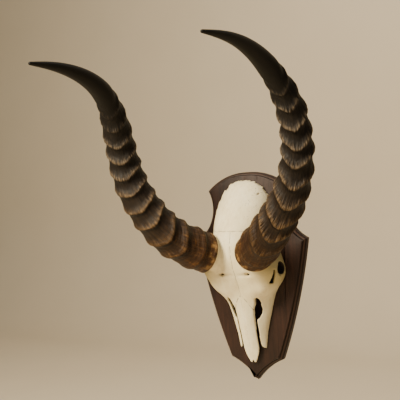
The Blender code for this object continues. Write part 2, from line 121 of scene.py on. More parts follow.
# %% [markdown]
# ## Sums with sockets
#
# A material's pattern is easier to read as a sum than as a list of nodes. The class below wraps one
# socket of a node tree. When two of them are added, or one is multiplied by a number, it adds the Math
# node that does it, so `1 - mask * 0.5` in Python becomes two linked nodes. Any other node comes from
# `add`, which takes the node's type, its settings, and the values or links of its sockets. The same two
# tools serve shader trees and Geometry Nodes trees.


# %% A wrapped socket
class Wire:
    """One output socket. Sums on it add Math nodes to its tree."""

    def __init__(self, tree, socket):
        self.tree = tree
        self.socket = socket

    def out(self, name):
        """Another output of the same node."""
        return Wire(self.tree, pick(self.socket.node.outputs, name))

    def math(self, operation, *values, clamp=False):
        settings = {"operation": operation, "use_clamp": clamp}
        return add(self.tree, "ShaderNodeMath", settings, dict(enumerate(values)))

    def __add__(self, other):
        return self.math("ADD", self, other)

    def __radd__(self, other):
        return self.math("ADD", other, self)

    def __sub__(self, other):
        return self.math("SUBTRACT", self, other)

    def __rsub__(self, other):
        return self.math("SUBTRACT", other, self)

    def __mul__(self, other):
        return self.math("MULTIPLY", self, other)

    def __rmul__(self, other):
        return self.math("MULTIPLY", other, self)

    def __truediv__(self, other):
        return self.math("DIVIDE", self, other)

    def __rtruediv__(self, other):
        return self.math("DIVIDE", other, self)

    def __pow__(self, other):
        return self.math("POWER", self, other)

    def __neg__(self):
        return self.math("MULTIPLY", self, -1.0)

    def __abs__(self):
        return self.math("ABSOLUTE", self)

    def clamp(self):
        return self.math("ADD", self, 0.0, clamp=True)

    def most(self, other):
        return self.math("MAXIMUM", self, other)

    def root(self):
        return self.math("SQRT", self)

    def cos(self):
        return self.math("COSINE", self)

    def sin(self):
        return self.math("SINE", self)

    def step(self, low, high):
        """0 below low, 1 above high, and smooth between them. It falls where low is the larger."""
        values = {"Value": self, "From Min": low, "From Max": high, "To Min": 0.0, "To Max": 1.0}
        return add(self.tree, "ShaderNodeMapRange", {"interpolation_type": "SMOOTHSTEP"}, values, "Result")


def pick(sockets, name):
    """A socket by its number, or the one in use by its name."""
    if isinstance(name, int):
        return sockets[name]
    return next(s for s in sockets if s.name == name and s.enabled)


def add(tree, kind, settings=None, values=None, out=0):
    """A new node with its settings, then its sockets' values or links. The answer is one of its outputs."""
    node = tree.nodes.new(kind)
    for name, value in (settings or {}).items():
        if name == "stops":
            fill_ramp(node.color_ramp, value)
        elif name == "curve":
            fill_curve(node.mapping, value)
        else:
            setattr(node, name, value)
    for name, value in (values or {}).items():
        socket = pick(node.inputs, name)
        if isinstance(value, Wire):
            tree.links.new(value.socket, socket)
        else:
            socket.default_value = value
    return Wire(tree, pick(node.outputs, out)) if node.outputs else node


def fill_ramp(ramp, stops):
    while len(ramp.elements) < len(stops):
        ramp.elements.new(0.5)
    for element, (position, colour) in zip(ramp.elements, stops):
        element.position = position
        element.color = (*colour, 1.0)


def fill_curve(mapping, points):
    curve = mapping.curves[0]
    while len(curve.points) < len(points):
        curve.points.new(0.5, 0.5)
    for point, (x, y) in zip(curve.points, points):
        point.location = (x, y)
        point.handle_type = "AUTO"
    mapping.update()


# %% [markdown]
# ## Materials as small recipes
#
# Each finish below has the same skeleton: a pattern that sets the colour, a pattern that sets the
# roughness, and a height that a Bump node turns into fine relief. The class holds a new material's tree
# and the few helpers that every recipe needs, so a recipe is only its sums.


# %% A material under construction
class Finish:
    def __init__(self, name):
        self.material = bpy.data.materials.new(name)
        self.material.use_nodes = True
        self.tree = self.material.node_tree
        self.tree.nodes.clear()
        self.place = self.add("ShaderNodeTexCoord", out="Object")

    def add(self, kind, settings=None, values=None, out=0):
        return add(self.tree, kind, settings, values, out)

    def axes(self):
        split = self.add("ShaderNodeSeparateXYZ", values={0: self.place})
        return split.out("X"), split.out("Y"), split.out("Z")

    def vector(self, x, y, z):
        return self.add("ShaderNodeCombineXYZ", values={"X": x, "Y": y, "Z": z})

    def stretched(self, factors, vector):
        return self.add("ShaderNodeVectorMath", {"operation": "MULTIPLY"}, {0: vector, 1: factors})

    def noise(self, scale, detail=2.0, vector=None, rough=0.5):
        values = {"Vector": vector or self.place, "Scale": scale, "Detail": detail, "Roughness": rough}
        return self.add("ShaderNodeTexNoise", values=values, out="Fac")

    def attribute(self, name, out="Fac"):
        return self.add("ShaderNodeAttribute", {"attribute_name": name}, out=out)

    def ramp(self, value, *stops):
        return self.add("ShaderNodeValToRGB", {"stops": stops}, {"Fac": value}, out="Color")

    def blend(self, amount, first, second):
        """From the first colour to the second by the amount."""
        first, second = [c if isinstance(c, Wire) else (*c, 1.0) for c in (first, second)]
        values = {"Factor": amount, "A": first, "B": second}
        return self.add("ShaderNodeMix", {"data_type": "RGBA"}, values, "Result")

    def finish(self, colour, roughness, height=None, depth=0.001, **constants):
        """Joins the patterns to the surface shader. depth is the relief in metres for a height of 1."""
        values = {"Base Color": colour, "Roughness": roughness}
        if height is not None:
            bump = {"Height": height, "Distance": depth, "Strength": 1.0}
            values["Normal"] = self.add("ShaderNodeBump", values=bump)
        shader = self.add("ShaderNodeBsdfPrincipled", values={**values, **constants})
        self.add("ShaderNodeOutputMaterial", values={"Surface": shader})
        return self.material


# %% [markdown]
# ## Small helpers for meshes
#
# Three pieces are built from rings of points that are bridged with four-sided faces, so one function
# does that. Another turns whatever modifiers an object has into a plain mesh, because the pieces that
# are handed on have to be finished meshes with their object at the origin.


# %% Mesh helpers
def link(name, mesh):
    obj = bpy.data.objects.new(name, mesh)
    bpy.context.scene.collection.objects.link(obj)
    return obj


def bridged(name, rings):
    """A closed body of quads between rings of points, with a face on each end."""
    bm = bmesh.new()
    loops = [[bm.verts.new(point) for point in ring] for ring in rings]
    for lower, upper in zip(loops, loops[1:]):
        for i, vert in enumerate(lower):
            j = (i + 1) % len(lower)
            bm.faces.new((vert, lower[j], upper[j], upper[i]))
    bm.faces.new(loops[0])
    bm.faces.new(loops[-1])
    bmesh.ops.triangulate(bm, faces=[f for f in bm.faces if len(f.verts) > 4])
    bmesh.ops.recalc_face_normals(bm, faces=bm.faces)
    mesh = bpy.data.meshes.new(name)
    bm.to_mesh(mesh)
    bm.free()
    return link(name, mesh)


def settle(obj, name):
    """The object's mesh as its modifiers make it, on a new plain object. The old one is removed."""
    evaluated = obj.evaluated_get(bpy.context.evaluated_depsgraph_get())
    mesh = bpy.data.meshes.new_from_object(evaluated)
    bpy.data.objects.remove(obj)
    mesh.name = name
    return link(name, mesh)


def cut(obj, cutter, operation="DIFFERENCE"):
    modifier = obj.modifiers.new(cutter.name, "BOOLEAN")
    modifier.operation = operation
    modifier.solver = "EXACT"
    modifier.object = cutter
    cutter.hide_render = True


def prism(name, outline, start, end):
    """A front-view outline of (x, height) points, drawn out from one distance in front of the wall."""
    return bridged(name, [[place(x, out, height) for x, height in outline] for out in (start, end)])


def mirrored(outline):
    return [(-x, height) for x, height in reversed(outline)]


def triangles(obj):
    obj.data.calc_loop_triangles()
    return len(obj.data.loop_triangles)


def rows_of(collection, name):
    """One vector of every element, as the rows of an array."""
    flat = np.empty(len(collection) * 3, np.float32)
    collection.foreach_get(name, flat)
    return flat.reshape(-1, 3).astype(float)


def store(mesh, name, values):
    """Keeps one number for each vertex under a name that a material can read."""
    mesh.attributes.new(name, "FLOAT", "POINT").data.foreach_set("value", values.astype(np.float32))


def smooth(low, high, value):
    """The smooth step from 0 to 1, for arrays and numbers."""
    t = np.clip((value - low) / (high - low), 0.0, 1.0)
    return t * t * (3 - 2 * t)


def spline(knots, values, at):
    """A natural cubic spline through the values at the knots."""
    knots, values, at = (np.asarray(a, float) for a in (knots, values, at))
    h = np.diff(knots)
    slopes = np.diff(values, axis=0) / h[:, None]
    n = len(knots)
    system = np.eye(n)
    right = np.zeros_like(values)
    for i in range(1, n - 1):
        system[i, i - 1 : i + 2] = h[i - 1], 2 * (h[i - 1] + h[i]), h[i]
        right[i] = 6 * (slopes[i] - slopes[i - 1])
    bend = np.linalg.solve(system, right)
    i = np.clip(np.searchsorted(knots, at, side="right") - 1, 0, n - 2)
    a = ((knots[i + 1] - at) / h[i])[:, None]
    b = 1 - a
    flat = a * values[i] + b * values[i + 1]
    return flat + ((a**3 - a) * bend[i] + (b**3 - b) * bend[i + 1]) * (h[i] ** 2)[:, None] / 6


# %% [markdown]
# ## The board
#
# The board is a plank sawn to a shield outline, with a moulding run along its front edge by a router.
# One could bevel a flat plate, but a bevel can't follow a real moulding. So the outline is drawn from
# eight arcs, and the moulding is a profile: a list of how far in from the outline, and how far out from
# the wall, the edge is. Bridging copies of the outline along that profile gives the edge, and the two
# end faces are the front and the back. Mitres keep the corners of the ears and shoulders crisp.

# %% The board's outline
ARC_STEPS = 36
SHARPEST_MITRE = 0.35
OUTLINE_ARCS = (
    ((0.0000, 0.4000), (0.0470, 0.3920), (0.0855, 0.3675)),
    ((0.0855, 0.3675), (0.0795, 0.3190), (0.1165, 0.2715)),
    ((0.1165, 0.2715), (0.0940, 0.1650), (0.0542, 0.0420)),
    ((0.0542, 0.0420), (0.0300, 0.0285), (0.0000, 0.0000)),
)


def arc_through(start, via, end):
    """Points on the circle through three points, without the last one."""
    a, b, c = (complex(*p) for p in (start, via, end))
    w = (c - a) / (b - a)
    centre = (b - a) * (w - abs(w) ** 2) / (2j * w.imag) + a
    radius = abs(a - centre)
    first = math.atan2((a - centre).imag, (a - centre).real)
    sweep = math.atan2((c - centre).imag, (c - centre).real) - first
    sweep = (sweep + math.pi) % (2 * math.pi) - math.pi
    angles = [first + sweep * i / ARC_STEPS for i in range(ARC_STEPS)]
    return [(centre.real + radius * math.cos(t), centre.imag + radius * math.sin(t)) for t in angles]


def shield_outline():
    half = [point for arc in OUTLINE_ARCS for point in arc_through(*arc)]
    return half + [OUTLINE_ARCS[-1][-1]] + mirrored(half[1:])


def inset(outline, distance):
    """The outline moved inwards by a distance, with mitred corners."""
    points = [Vector(p) for p in outline]
    moved = []
    for i, point in enumerate(points):
        before = (point - points[i - 1]).normalized()
        after = (points[(i + 1) % len(points)] - point).normalized()
        sides = [Vector((d.y, -d.x)) for d in (before, after)]
        mitre = (sides[0] + sides[1]) / max(1 + sides[0].dot(sides[1]), SHARPEST_MITRE)
        moved.append(point + mitre * distance)
    return moved


OUTLINE = shield_outline()
print("the board's outline has", len(OUTLINE), "points")

# %% [markdown]
# The moulding starts with a short upright side and turns over a small shoulder. A first groove follows,
# then a soft slope, a second groove and a steep step up to the front. Rounded corners between them keep
# the crests from looking like knife edges. The grooves and the slope are kept by their distance from the
# wall: the grooves are darkened as painted shade, where the stain also pools, and the slope is painted
# paler as a painted highlight. The bed and the pocket of the hanger and the screws' holes are then cut
# out of the back.

# %% Cut the board
MOULDING = (
    (0.0006, 0.0000), (0.0000, 0.0006), (0.0000, 0.0100), (0.0003, 0.0111), (0.0010, 0.0118),
    (0.0015, 0.0118), (0.0018, 0.0124), (0.0019, 0.0134), (0.0026, 0.0144), (0.0038, 0.0153),
    (0.0050, 0.0158), (0.0056, 0.0156), (0.0060, 0.0162), (0.0061, 0.0178), (0.0063, 0.0190),
    (0.0068, 0.0197), (0.0078, 0.0200),
)
GROOVES = ((0.0121, 0.0010), (0.0162, 0.0012))
SLOPE_FROM = (0.0134, 0.0146)
SLOPE_TO = (0.0160, 0.0150)
HANGER_HEIGHT = 0.352
HANGER_BED = (0.0083, 0.0223, 0.0019)
HANGER_POCKET = (0.0060, 0.0115, 0.0105)
HEAD_RECESS = 0.0008
HOLE_SIDES = 24
THROUGH = (-0.004, 0.024)
DRILLED = (-0.004, 0.0120)
SCREWS = (
    {"head": 0.0032, "shank": 0.0016, "heights": (0.3345, 0.3695), "depth": DRILLED},
    {"head": 0.0048, "shank": 0.0025, "heights": (0.2580, 0.3120), "depth": THROUGH},
)
SHARP_EDGE = math.radians(28)


def box_outline(half, tall):
    low, high = HANGER_HEIGHT - tall, HANGER_HEIGHT + tall
    return [(half, low), (half, high), (-half, high), (-half, low)]


def round_outline(radius, height):
    turns = (2 * math.pi * (i + 0.5) / HOLE_SIDES for i in range(HOLE_SIDES))
    return [(radius * math.cos(t), height + radius * math.sin(t)) for t in turns]


def make_board():
    rings = [[place(p[0], out, p[1]) for p in inset(OUTLINE, far)] for far, out in MOULDING]
    board = bridged("board_blank", rings)
    cutters = [
        prism("hanger_bed", box_outline(*HANGER_BED[:2]), THROUGH[0], HANGER_BED[2]),
        prism("hanger_pocket", box_outline(*HANGER_POCKET[:2]), THROUGH[0], HANGER_POCKET[2]),
    ]
    for screw in SCREWS:
        sink = HEAD_RECESS + screw["head"] - screw["shank"]
        for height in screw["heights"]:
            cutters.append(prism("hole", round_outline(screw["shank"], height), *screw["depth"]))
            cutters.append(prism("sink", round_outline(screw["head"], height), THROUGH[0], sink))
    for cutter in cutters:
        cut(board, cutter)
    board = settle(board, "board")
    for cutter in cutters:
        bpy.data.objects.remove(cutter)
    board.data.shade_smooth()
    board.data.set_sharp_from_angle(angle=SHARP_EDGE)
    return board


board = make_board()
print("board:", triangles(board), "triangles")

# %% [markdown]
# ## Stained wood
#
# The board is a fine-grained wood under a dark reddish-brown stain and a thin satin varnish. Long grain
# is noise that has been stretched along the board's height: the noise is read at places whose height
# counts for little and whose width counts for much. A second, finer layer gives the pores, as short dark
# dashes. The stain pools in the pores. The moulding's grooves are darkened as painted shade, where the
# stain also pools, and the slope between them is painted paler as a painted highlight.


# %% The wood's material
def stained_wood():
    f = Finish("stained_wood")
    x, y, z = f.axes()
    sway = f.noise(6.0, 2.0) * 0.012
    grain_place = f.vector(x + sway, y, z * 0.045)
    grain = f.noise(240.0, 4.0, grain_place, 0.62)
    bands = f.noise(70.0, 2.0, f.vector(x + sway, y, z * 0.03))
    pores = f.noise(900.0, 1.0, f.vector(x + sway, y, z * 0.05)).step(0.60, 0.70)
    cloud = f.noise(14.0, 3.0)
    tone = (grain * 0.50 + bands * 0.35 + cloud * 0.30 - 0.08).clamp()
    colour = f.ramp(
        tone,
        (0.30, (0.0070, 0.0028, 0.0018)),
        (0.50, (0.0200, 0.0074, 0.0042)),
        (0.66, (0.0370, 0.0138, 0.0078)),
        (0.85, (0.0600, 0.0245, 0.0135)),
    )
    colour = f.blend(pores * 0.55, colour, (0.010, 0.0050, 0.0040))
    # The grooves are darkened: painted shade, where the stain also pools.
    for out, wide in GROOVES:
        groove_stain_and_shade = abs(y + out).step(wide, 0.0)
        colour = f.blend(groove_stain_and_shade * 0.85, colour, (0.0040, 0.0022, 0.0018))
    # The slope is painted paler: a painted highlight.
    slope_highlight = (-y).step(*SLOPE_FROM) * (-y).step(*SLOPE_TO)
    colour = f.blend(slope_highlight * 0.40, colour, (0.075, 0.036, 0.019))
    roughness = 0.42 + 0.16 * cloud + 0.10 * pores
    height = grain * 0.35 - pores * 0.5
    return f.finish(colour, roughness, height, 0.00030, **{"IOR": 1.48, "Specular IOR Level": 0.30})


WOOD = stained_wood()
board.data.materials.clear()
board.data.materials.append(WOOD)

# %% [markdown]
# ## The skull's blank
#
# A real skull is a shell of bone, sawn flat at the back so that it can lie against the board. Its outer
# form is smooth and nearly symmetrical, which makes a loft the natural start: rounded cross-sections
# from the nose up to the crown, with their width, their height over the cut and their fullness given by
# a short table and a spline between its rows. The pedicles, the bony stumps that carry the horns, are
# tapered bars that are joined on.

# %% Loft the skull
SKULL_CUT = 0.0203
# Height, half width, crown over the cut and fullness of each cross-section
SKULL_SECTIONS = np.array([
    (0.030, 0.0220, 0.0050, -0.05),
    (0.045, 0.0240, 0.0095, -0.05),
    (0.070, 0.0280, 0.0170, -0.05),
    (0.100, 0.0330, 0.0270, -0.07),
    (0.125, 0.0395, 0.0340, -0.09),
    (0.150, 0.0463, 0.0405, -0.04),
    (0.165, 0.0508, 0.0440, 0.11),
    (0.180, 0.0580, 0.0485, 0.27),
    (0.195, 0.0690, 0.0550, 0.24),
    (0.212, 0.0745, 0.0640, 0.25),
    (0.230, 0.0718, 0.0715, 0.20),
    (0.250, 0.0655, 0.0760, 0.10),
    (0.270, 0.0620, 0.0765, 0.05),
    (0.290, 0.0625, 0.0720, 0.00),
    (0.312, 0.0608, 0.0635, 0.00),
    (0.335, 0.0552, 0.0510, 0.00),
    (0.355, 0.0478, 0.0385, 0.00),
    (0.371, 0.0358, 0.0250, 0.00),
    (0.381, 0.0200, 0.0120, 0.00),
    (0.384, 0.0100, 0.0040, 0.00),
])
SKULL_RINGS = 130
SKULL_CROWDING = 1.4
SKULL_POINTS_AROUND = 97


def skull_sizes(heights):
    """The table's three sizes at any heights."""
    return spline(SKULL_SECTIONS[:, 0], SKULL_SECTIONS[:, 1:], heights)


def skull_rings(low, high, count, shape=None):
    """Cross-sections between two heights, crowded towards the upper one. shape may change their sizes."""
    share = 1 - np.linspace(0, 1, count)
    heights = high - (high - low) * share**SKULL_CROWDING
    turn = np.linspace(0, math.pi, SKULL_POINTS_AROUND)
    rings = []
    for height, sizes in zip(heights, skull_sizes(heights)):
        width, crown, fullness = shape(*sizes) if shape else sizes
        reach = 1 + fullness * np.sin(2 * turn) ** 2
        x, out = -width * np.cos(turn) * reach, SKULL_CUT + crown * np.sin(turn) * reach
        rings.append(places(np.column_stack([x, out, np.full(len(turn), height)])))
    return rings


skull = bridged("skull_blank", skull_rings(SKULL_SECTIONS[0, 0], SKULL_SECTIONS[-1, 0], SKULL_RINGS))
print("skull blank:", triangles(skull), "triangles")

# %% [markdown]
# ## The horn's centre line
#
# Both horns follow one curve, mirrored. It runs out and up from the forehead, sweeps back in at the top
# and ends pointing forwards. Seven measured points and a spline give the line. A ring isn't a circle
# around it: each is lowest near the front and climbs to both sides, so every point of the horn also
# needs to know which way the front is. That direction is carried along the line without twisting.

# %% Centre line and fronts
HORN_LINE = (
    (0.0515, 0.0915, 0.2560), (0.1048, 0.1383, 0.2965), (0.1590, 0.1612, 0.3790),
    (0.1720, 0.1818, 0.4775), (0.1598, 0.2377, 0.5510), (0.1552, 0.3328, 0.5794),
    (0.1505, 0.4281, 0.5780),
)
FRAME_STEPS = 800
LINE_EXTENSION = 0.10


def horn_frames():
    """Centres, tangents and fronts along the right horn, and its length."""
    knots = places(HORN_LINE)
    fine = spline(np.arange(len(knots)), knots, np.linspace(0, len(knots) - 1, 4 * FRAME_STEPS))
    travelled = np.concatenate([[0], np.cumsum(np.linalg.norm(np.diff(fine, axis=0), axis=1))])
    at = np.linspace(0, travelled[-1], FRAME_STEPS + 1)
    centres = np.column_stack([np.interp(at, travelled, fine[:, k]) for k in range(3)])
    tangents = np.gradient(centres, axis=0)
    tangents /= np.linalg.norm(tangents, axis=1)[:, None]
    fronts = []
    front = np.array([0.0, -1.0, 0.0])
    for tangent in tangents:
        front = front - tangent * (front @ tangent)
        front /= np.linalg.norm(front)
        fronts.append(front)
    return centres, tangents, np.array(fronts), travelled[-1]


CENTRES, TANGENTS, FRONTS, HORN_LENGTH = horn_frames()
print("each horn is", round(HORN_LENGTH, 4), "m long")

# %% [markdown]
# ## Carving the skull
#
# Everything that is cut into the blank is a simple closed body: a hollow for the nose, a mirrored
# outline for the gaps beside the nasal bones, an outline for the opening in each cheek, and ellipsoids
# and a wedge for the eye socket. Exact Booleans cut them one after another. The eye's hole and the slit
# beside it reach deep into the head, so that they look black as in real bone.

# %% Cutters
CAVITY = (0.018, 0.168)
CAVITY_RINGS = 60
CAVITY_HALF_WIDTH = 0.0290
CAVITY_LEAST_CROWN = 0.0015
BEHIND_CUT = 0.005
BONE_WALL = 0.0034
NOSE_GAP = (
    (0.0000, 0.0430), (0.0014, 0.0400), (0.0026, 0.0372), (0.0050, 0.0370), (0.0086, 0.0440),
    (0.0122, 0.0520), (0.0145, 0.0600), (0.0157, 0.0680), (0.0160, 0.0800), (0.0162, 0.1000),
    (0.0166, 0.1240), (0.0212, 0.1240), (0.0206, 0.1120), (0.0202, 0.1000), (0.0200, 0.0900),
    (0.0199, 0.0800), (0.0200, 0.0735), (0.0207, 0.0690), (0.0238, 0.0655), (0.0300, 0.0640),
    (0.0700, 0.0620), (0.0700, 0.0100),
)
NOSE_GAP_DEPTH = (0.010, 0.110)
FACE_WINDOW = (
    (0.0176, 0.1215), (0.0215, 0.1226), (0.0246, 0.1252), (0.0270, 0.1288), (0.0293, 0.1330),
    (0.0309, 0.1375), (0.0317, 0.1415), (0.0318, 0.1455), (0.0318, 0.1495), (0.0326, 0.1540),
    (0.0333, 0.1585), (0.0331, 0.1625), (0.0312, 0.1657), (0.0286, 0.1666), (0.0262, 0.1652),
    (0.0247, 0.1625), (0.0240, 0.1590), (0.0233, 0.1552), (0.0222, 0.1518), (0.0204, 0.1488),
    (0.0189, 0.1450), (0.0181, 0.1410), (0.0176, 0.1360), (0.0173, 0.1290),
)
FACE_WINDOW_DEPTH = (0.026, 0.085)
PITS = {
    "socket": ((0.0905, 0.0485, 0.2180), (0.0190, 0.0190, 0.0190)),
    "eye": ((0.0700, 0.0408, 0.2202), (0.0420, 0.0142, 0.0110)),
    "brow": ((0.0262, 0.0862, 0.2124), (0.0046, 0.0070, 0.0025)),
}
SLIT = ((0.0645, 0.0645, 0.1940, 0.0096), (0.0725, 0.0672, 0.2205, 0.0034))
SLIT_REACH = 0.030
SLIT_LEAN = (0.80, 0.60)
BAR_SIDES = 48
PEDICLE = {"reach": (-0.042, 0.026), "radii": (0.0300, 0.0315)}
SEAT = {"radius": 0.0500, "depth": 0.060, "gap": 0.0003}
BASE_SLANT = 0.27


def ellipsoid(name, centre, radii):
    bm = bmesh.new()
    bmesh.ops.create_uvsphere(bm, u_segments=40, v_segments=24, radius=1.0)
    bmesh.ops.scale(bm, vec=radii, verts=bm.verts)
    bmesh.ops.translate(bm, vec=centre, verts=bm.verts)
    mesh = bpy.data.meshes.new(name)
    bm.to_mesh(mesh)
    bm.free()
    return link(name, mesh)


def bar(name, start, end, radii):
    axis = (end - start).normalized()
    across = axis.orthogonal().normalized()
    other = axis.cross(across)
    turns = [2 * math.pi * i / BAR_SIDES for i in range(BAR_SIDES)]
    ring = [across * math.cos(t) + other * math.sin(t) for t in turns]
    return bridged(name, [[point + d * r for d in ring] for point, r in zip((start, end), radii)])


def slit(name, sign):
    aside, back = SLIT_LEAN
    inwards = Vector((-sign * aside, back, 0.0))
    across = Vector((sign * back, aside, 0.0))
    corners = ((-1, -1), (1, -1), (1, 1), (-1, 1))
    rings = []
    for x, out, height, width in SLIT:
        middle = place(sign * x, out, height)
        rings.append([middle + across * width / 2 * s + inwards * SLIT_REACH * t for s, t in corners])
    return bridged(name, rings)


# %% Join the pedicles, then cut
def nose_hollow():
    def hollow(width, crown, fullness):
        half = min(width - BONE_WALL, CAVITY_HALF_WIDTH)
        return half, max(crown - BONE_WALL, CAVITY_LEAST_CROWN), fullness

    rings = []
    for ring in skull_rings(*CAVITY, CAVITY_RINGS, hollow):
        behind = [(ring[k][0], BEHIND_CUT - SKULL_CUT, ring[k][2]) for k in (-1, 0)]
        rings.append(list(ring) + behind)
    return bridged("nose_hollow", rings)


def carve(skull):
    base, direction, front = (Vector(a[0]) for a in (CENTRES, TANGENTS, FRONTS))
    facing = (direction + front * BASE_SLANT).normalized()
    tools = []
    for side, sign in (("left", -1), ("right", 1)):
        mirror = Matrix.Diagonal((sign, 1, 1))
        ends = [mirror @ (base + direction * far) for far in PEDICLE["reach"]]
        tools.append((bar("pedicle_" + side, *ends, PEDICLE["radii"]), "UNION"))
        seat = mirror @ (base - facing * SEAT["gap"])
        above = mirror @ (base + facing * SEAT["depth"])
        tools.append((bar("seat_" + side, seat, above, (SEAT["radius"],) * 2), "DIFFERENCE"))
        window = [(sign * x, height) for x, height in FACE_WINDOW]
        tools.append((prism("window_" + side, window, *FACE_WINDOW_DEPTH), "DIFFERENCE"))
        for name, (centre, radii) in PITS.items():
            middle = place(sign * centre[0], *centre[1:])
            tools.append((ellipsoid(f"{name}_{side}", middle, radii), "DIFFERENCE"))
        tools.append((slit("slit_" + side, sign), "DIFFERENCE"))
    gap = list(NOSE_GAP) + mirrored(NOSE_GAP[1:])
    tools.append((prism("nose_gap", gap, *NOSE_GAP_DEPTH), "DIFFERENCE"))
    tools.append((nose_hollow(), "DIFFERENCE"))
    for tool, operation in tools:
        cut(skull, tool, operation)
    skull = settle(skull, "skull_carved")
    for tool, _ in tools:
        bpy.data.objects.remove(tool)
    return skull


skull = carve(skull)
print("carved skull:", triangles(skull), "triangles")

# %% [markdown]
# ## From cut edges to bone
#
# Booleans leave knife edges and long thin faces, which bone never has. A voxel remesh replaces all of
# them with an even skin of small squares, and a few rounds of smoothing take the sharpness off, just as
# boiling and bleaching does. The even skin is also what the next step needs: every point can be pushed
# in or out a little, and there are enough points everywhere.

# %% Remesh and smooth
VOXEL = 0.00125
SMOOTH_ROUNDS = 4


def reskin(obj, name):
    remesh = obj.modifiers.new("skin", "REMESH")
    remesh.mode = "VOXEL"
    remesh.voxel_size = VOXEL
    remesh.adaptivity = 0
    soften = obj.modifiers.new("soften", "SMOOTH")
    soften.factor = 0.5
    soften.iterations = SMOOTH_ROUNDS
    return settle(obj, name)


skull = reskin(skull, "bone_skull")
print("skull skin:", triangles(skull), "triangles")

# %% [markdown]
# ## Growth marks, pits and a worn saw cut
#
# Bone is never quite smooth. The skin gets broad soft swellings, a fine grainy unevenness, grooves along
# the seams between the bones, a small pit in the dome, and a ragged rim where the saw and the board meet,
# more worn on the left. Each is a function of where the point is, added up and applied along the skin's
# own normals. How deep a point lies under the outer form is kept on the mesh, because the material
# paints the inside near black: painted shade, with the dried tissue of unwashed bone.

# %% Relief of the bone
BROAD = {"scale": 28.0, "depth": 0.00055}
FINE = {"scale": 260.0, "depth": 0.00010}
SEAM_TOP = 0.292
SEAM_DEPTH = 0.00035
SEAM_HALF_WIDTH = 0.0011
MIDLINE_START = (0.060, 0.075)
MIDLINE_END = (0.285, 0.292)
CROWN_SEAM_END = (0.050, 0.058)
NOSE_SEAM = {"top": 0.1695, "drop": 0.0265, "wide": 0.0185, "power": 1.5}
NOSE_SEAM_HALF_WIDTH = 0.0009
NOSE_SEAM_END = (0.020, 0.024)
DOME_PIT = (0.0369, 0.3575)
DOME_PIT_RADIUS = 0.0016
DOME_PIT_DEPTH = 0.0020
RAGGED = {"scale": 110.0, "rim": 0.0046, "worn side": 0.0020}
OUTER_SKIN = (0.0015, 0.0040)
PAINTED_SHADE_INSIDE = (0.0030, 0.0090)
NEAR_BOARD = (0.0010, 0.0090)
WORN_SIDE = (0.018, 0.036)
DOME_FROM = (0.24, 0.30)
SEAT_REACH = 0.046
# Depth, distance from the middle, height, half width and half height of each swelling or hollow
SWELLS = (
    (-0.0022, 0.0270, 0.2125, 0.0085, 0.0042),
    (-0.0011, 0.0140, 0.2105, 0.0100, 0.0032),
    (0.0016, 0.0120, 0.1930, 0.0130, 0.0130),
    (-0.0012, 0.0370, 0.1900, 0.0080, 0.0180),
    (0.0010, 0.0000, 0.2550, 0.0160, 0.0300),
    (-0.0010, 0.0250, 0.3450, 0.0120, 0.0060),
)


def depth_under(points):
    """How far a point lies inside the lofted outer form, in metres."""
    x, out = points[:, 0], -points[:, 1] - SKULL_CUT
    heights = np.clip(points[:, 2] + SHIELD_HEIGHT / 2, SKULL_SECTIONS[0, 0], SKULL_SECTIONS[-1, 0])
    width, crown, fullness = skull_sizes(heights).T
    u, v = x / width, np.maximum(out, 0) / crown
    turn = np.arctan2(v, np.abs(u))
    reach = 1 + fullness * np.sin(2 * turn) ** 2
    size = np.hypot(u, v)
    scale = np.hypot(x, np.maximum(out, 0)) / np.maximum(size, 1e-6)
    return (reach - size) * scale


def octaves(points, scale, rounds=2):
    """Soft noise between about -1 and 1 for every point."""
    return np.array([noise.fractal(Vector(p) * scale, 1.0, 2.0, rounds) for p in points])


def nose_seam_height(aside):
    """Where the seam between nose and forehead runs, at a distance from the middle."""
    return NOSE_SEAM["top"] - NOSE_SEAM["drop"] * (aside / NOSE_SEAM["wide"]) ** NOSE_SEAM["power"]


def groove(distance, width):
    """1 in the middle of a groove and 0 outside it."""
    return np.exp(-((distance / width) ** 2))


def seams(x, height):
    """1 on the seams between the bones and 0 beside them."""
    aside = np.abs(x)
    still = np.zeros(len(x))
    wander = octaves(np.column_stack([still, still, height * 60]), 1.0, 3) * 0.0012
    crown_wander = octaves(np.column_stack([x * 70, still, still]), 1.0, 3) * 0.0015
    midline = groove(x - wander, SEAM_HALF_WIDTH)
    midline *= smooth(*MIDLINE_START, height) * (1 - smooth(*MIDLINE_END, height))
    crown = groove(height - SEAM_TOP + crown_wander, SEAM_HALF_WIDTH)
    crown *= 1 - smooth(*CROWN_SEAM_END, aside)
    nose = groove(height - nose_seam_height(aside) + wander, NOSE_SEAM_HALF_WIDTH)
    nose *= 1 - smooth(*NOSE_SEAM_END, aside)
    return np.maximum.reduce([midline, crown, nose])


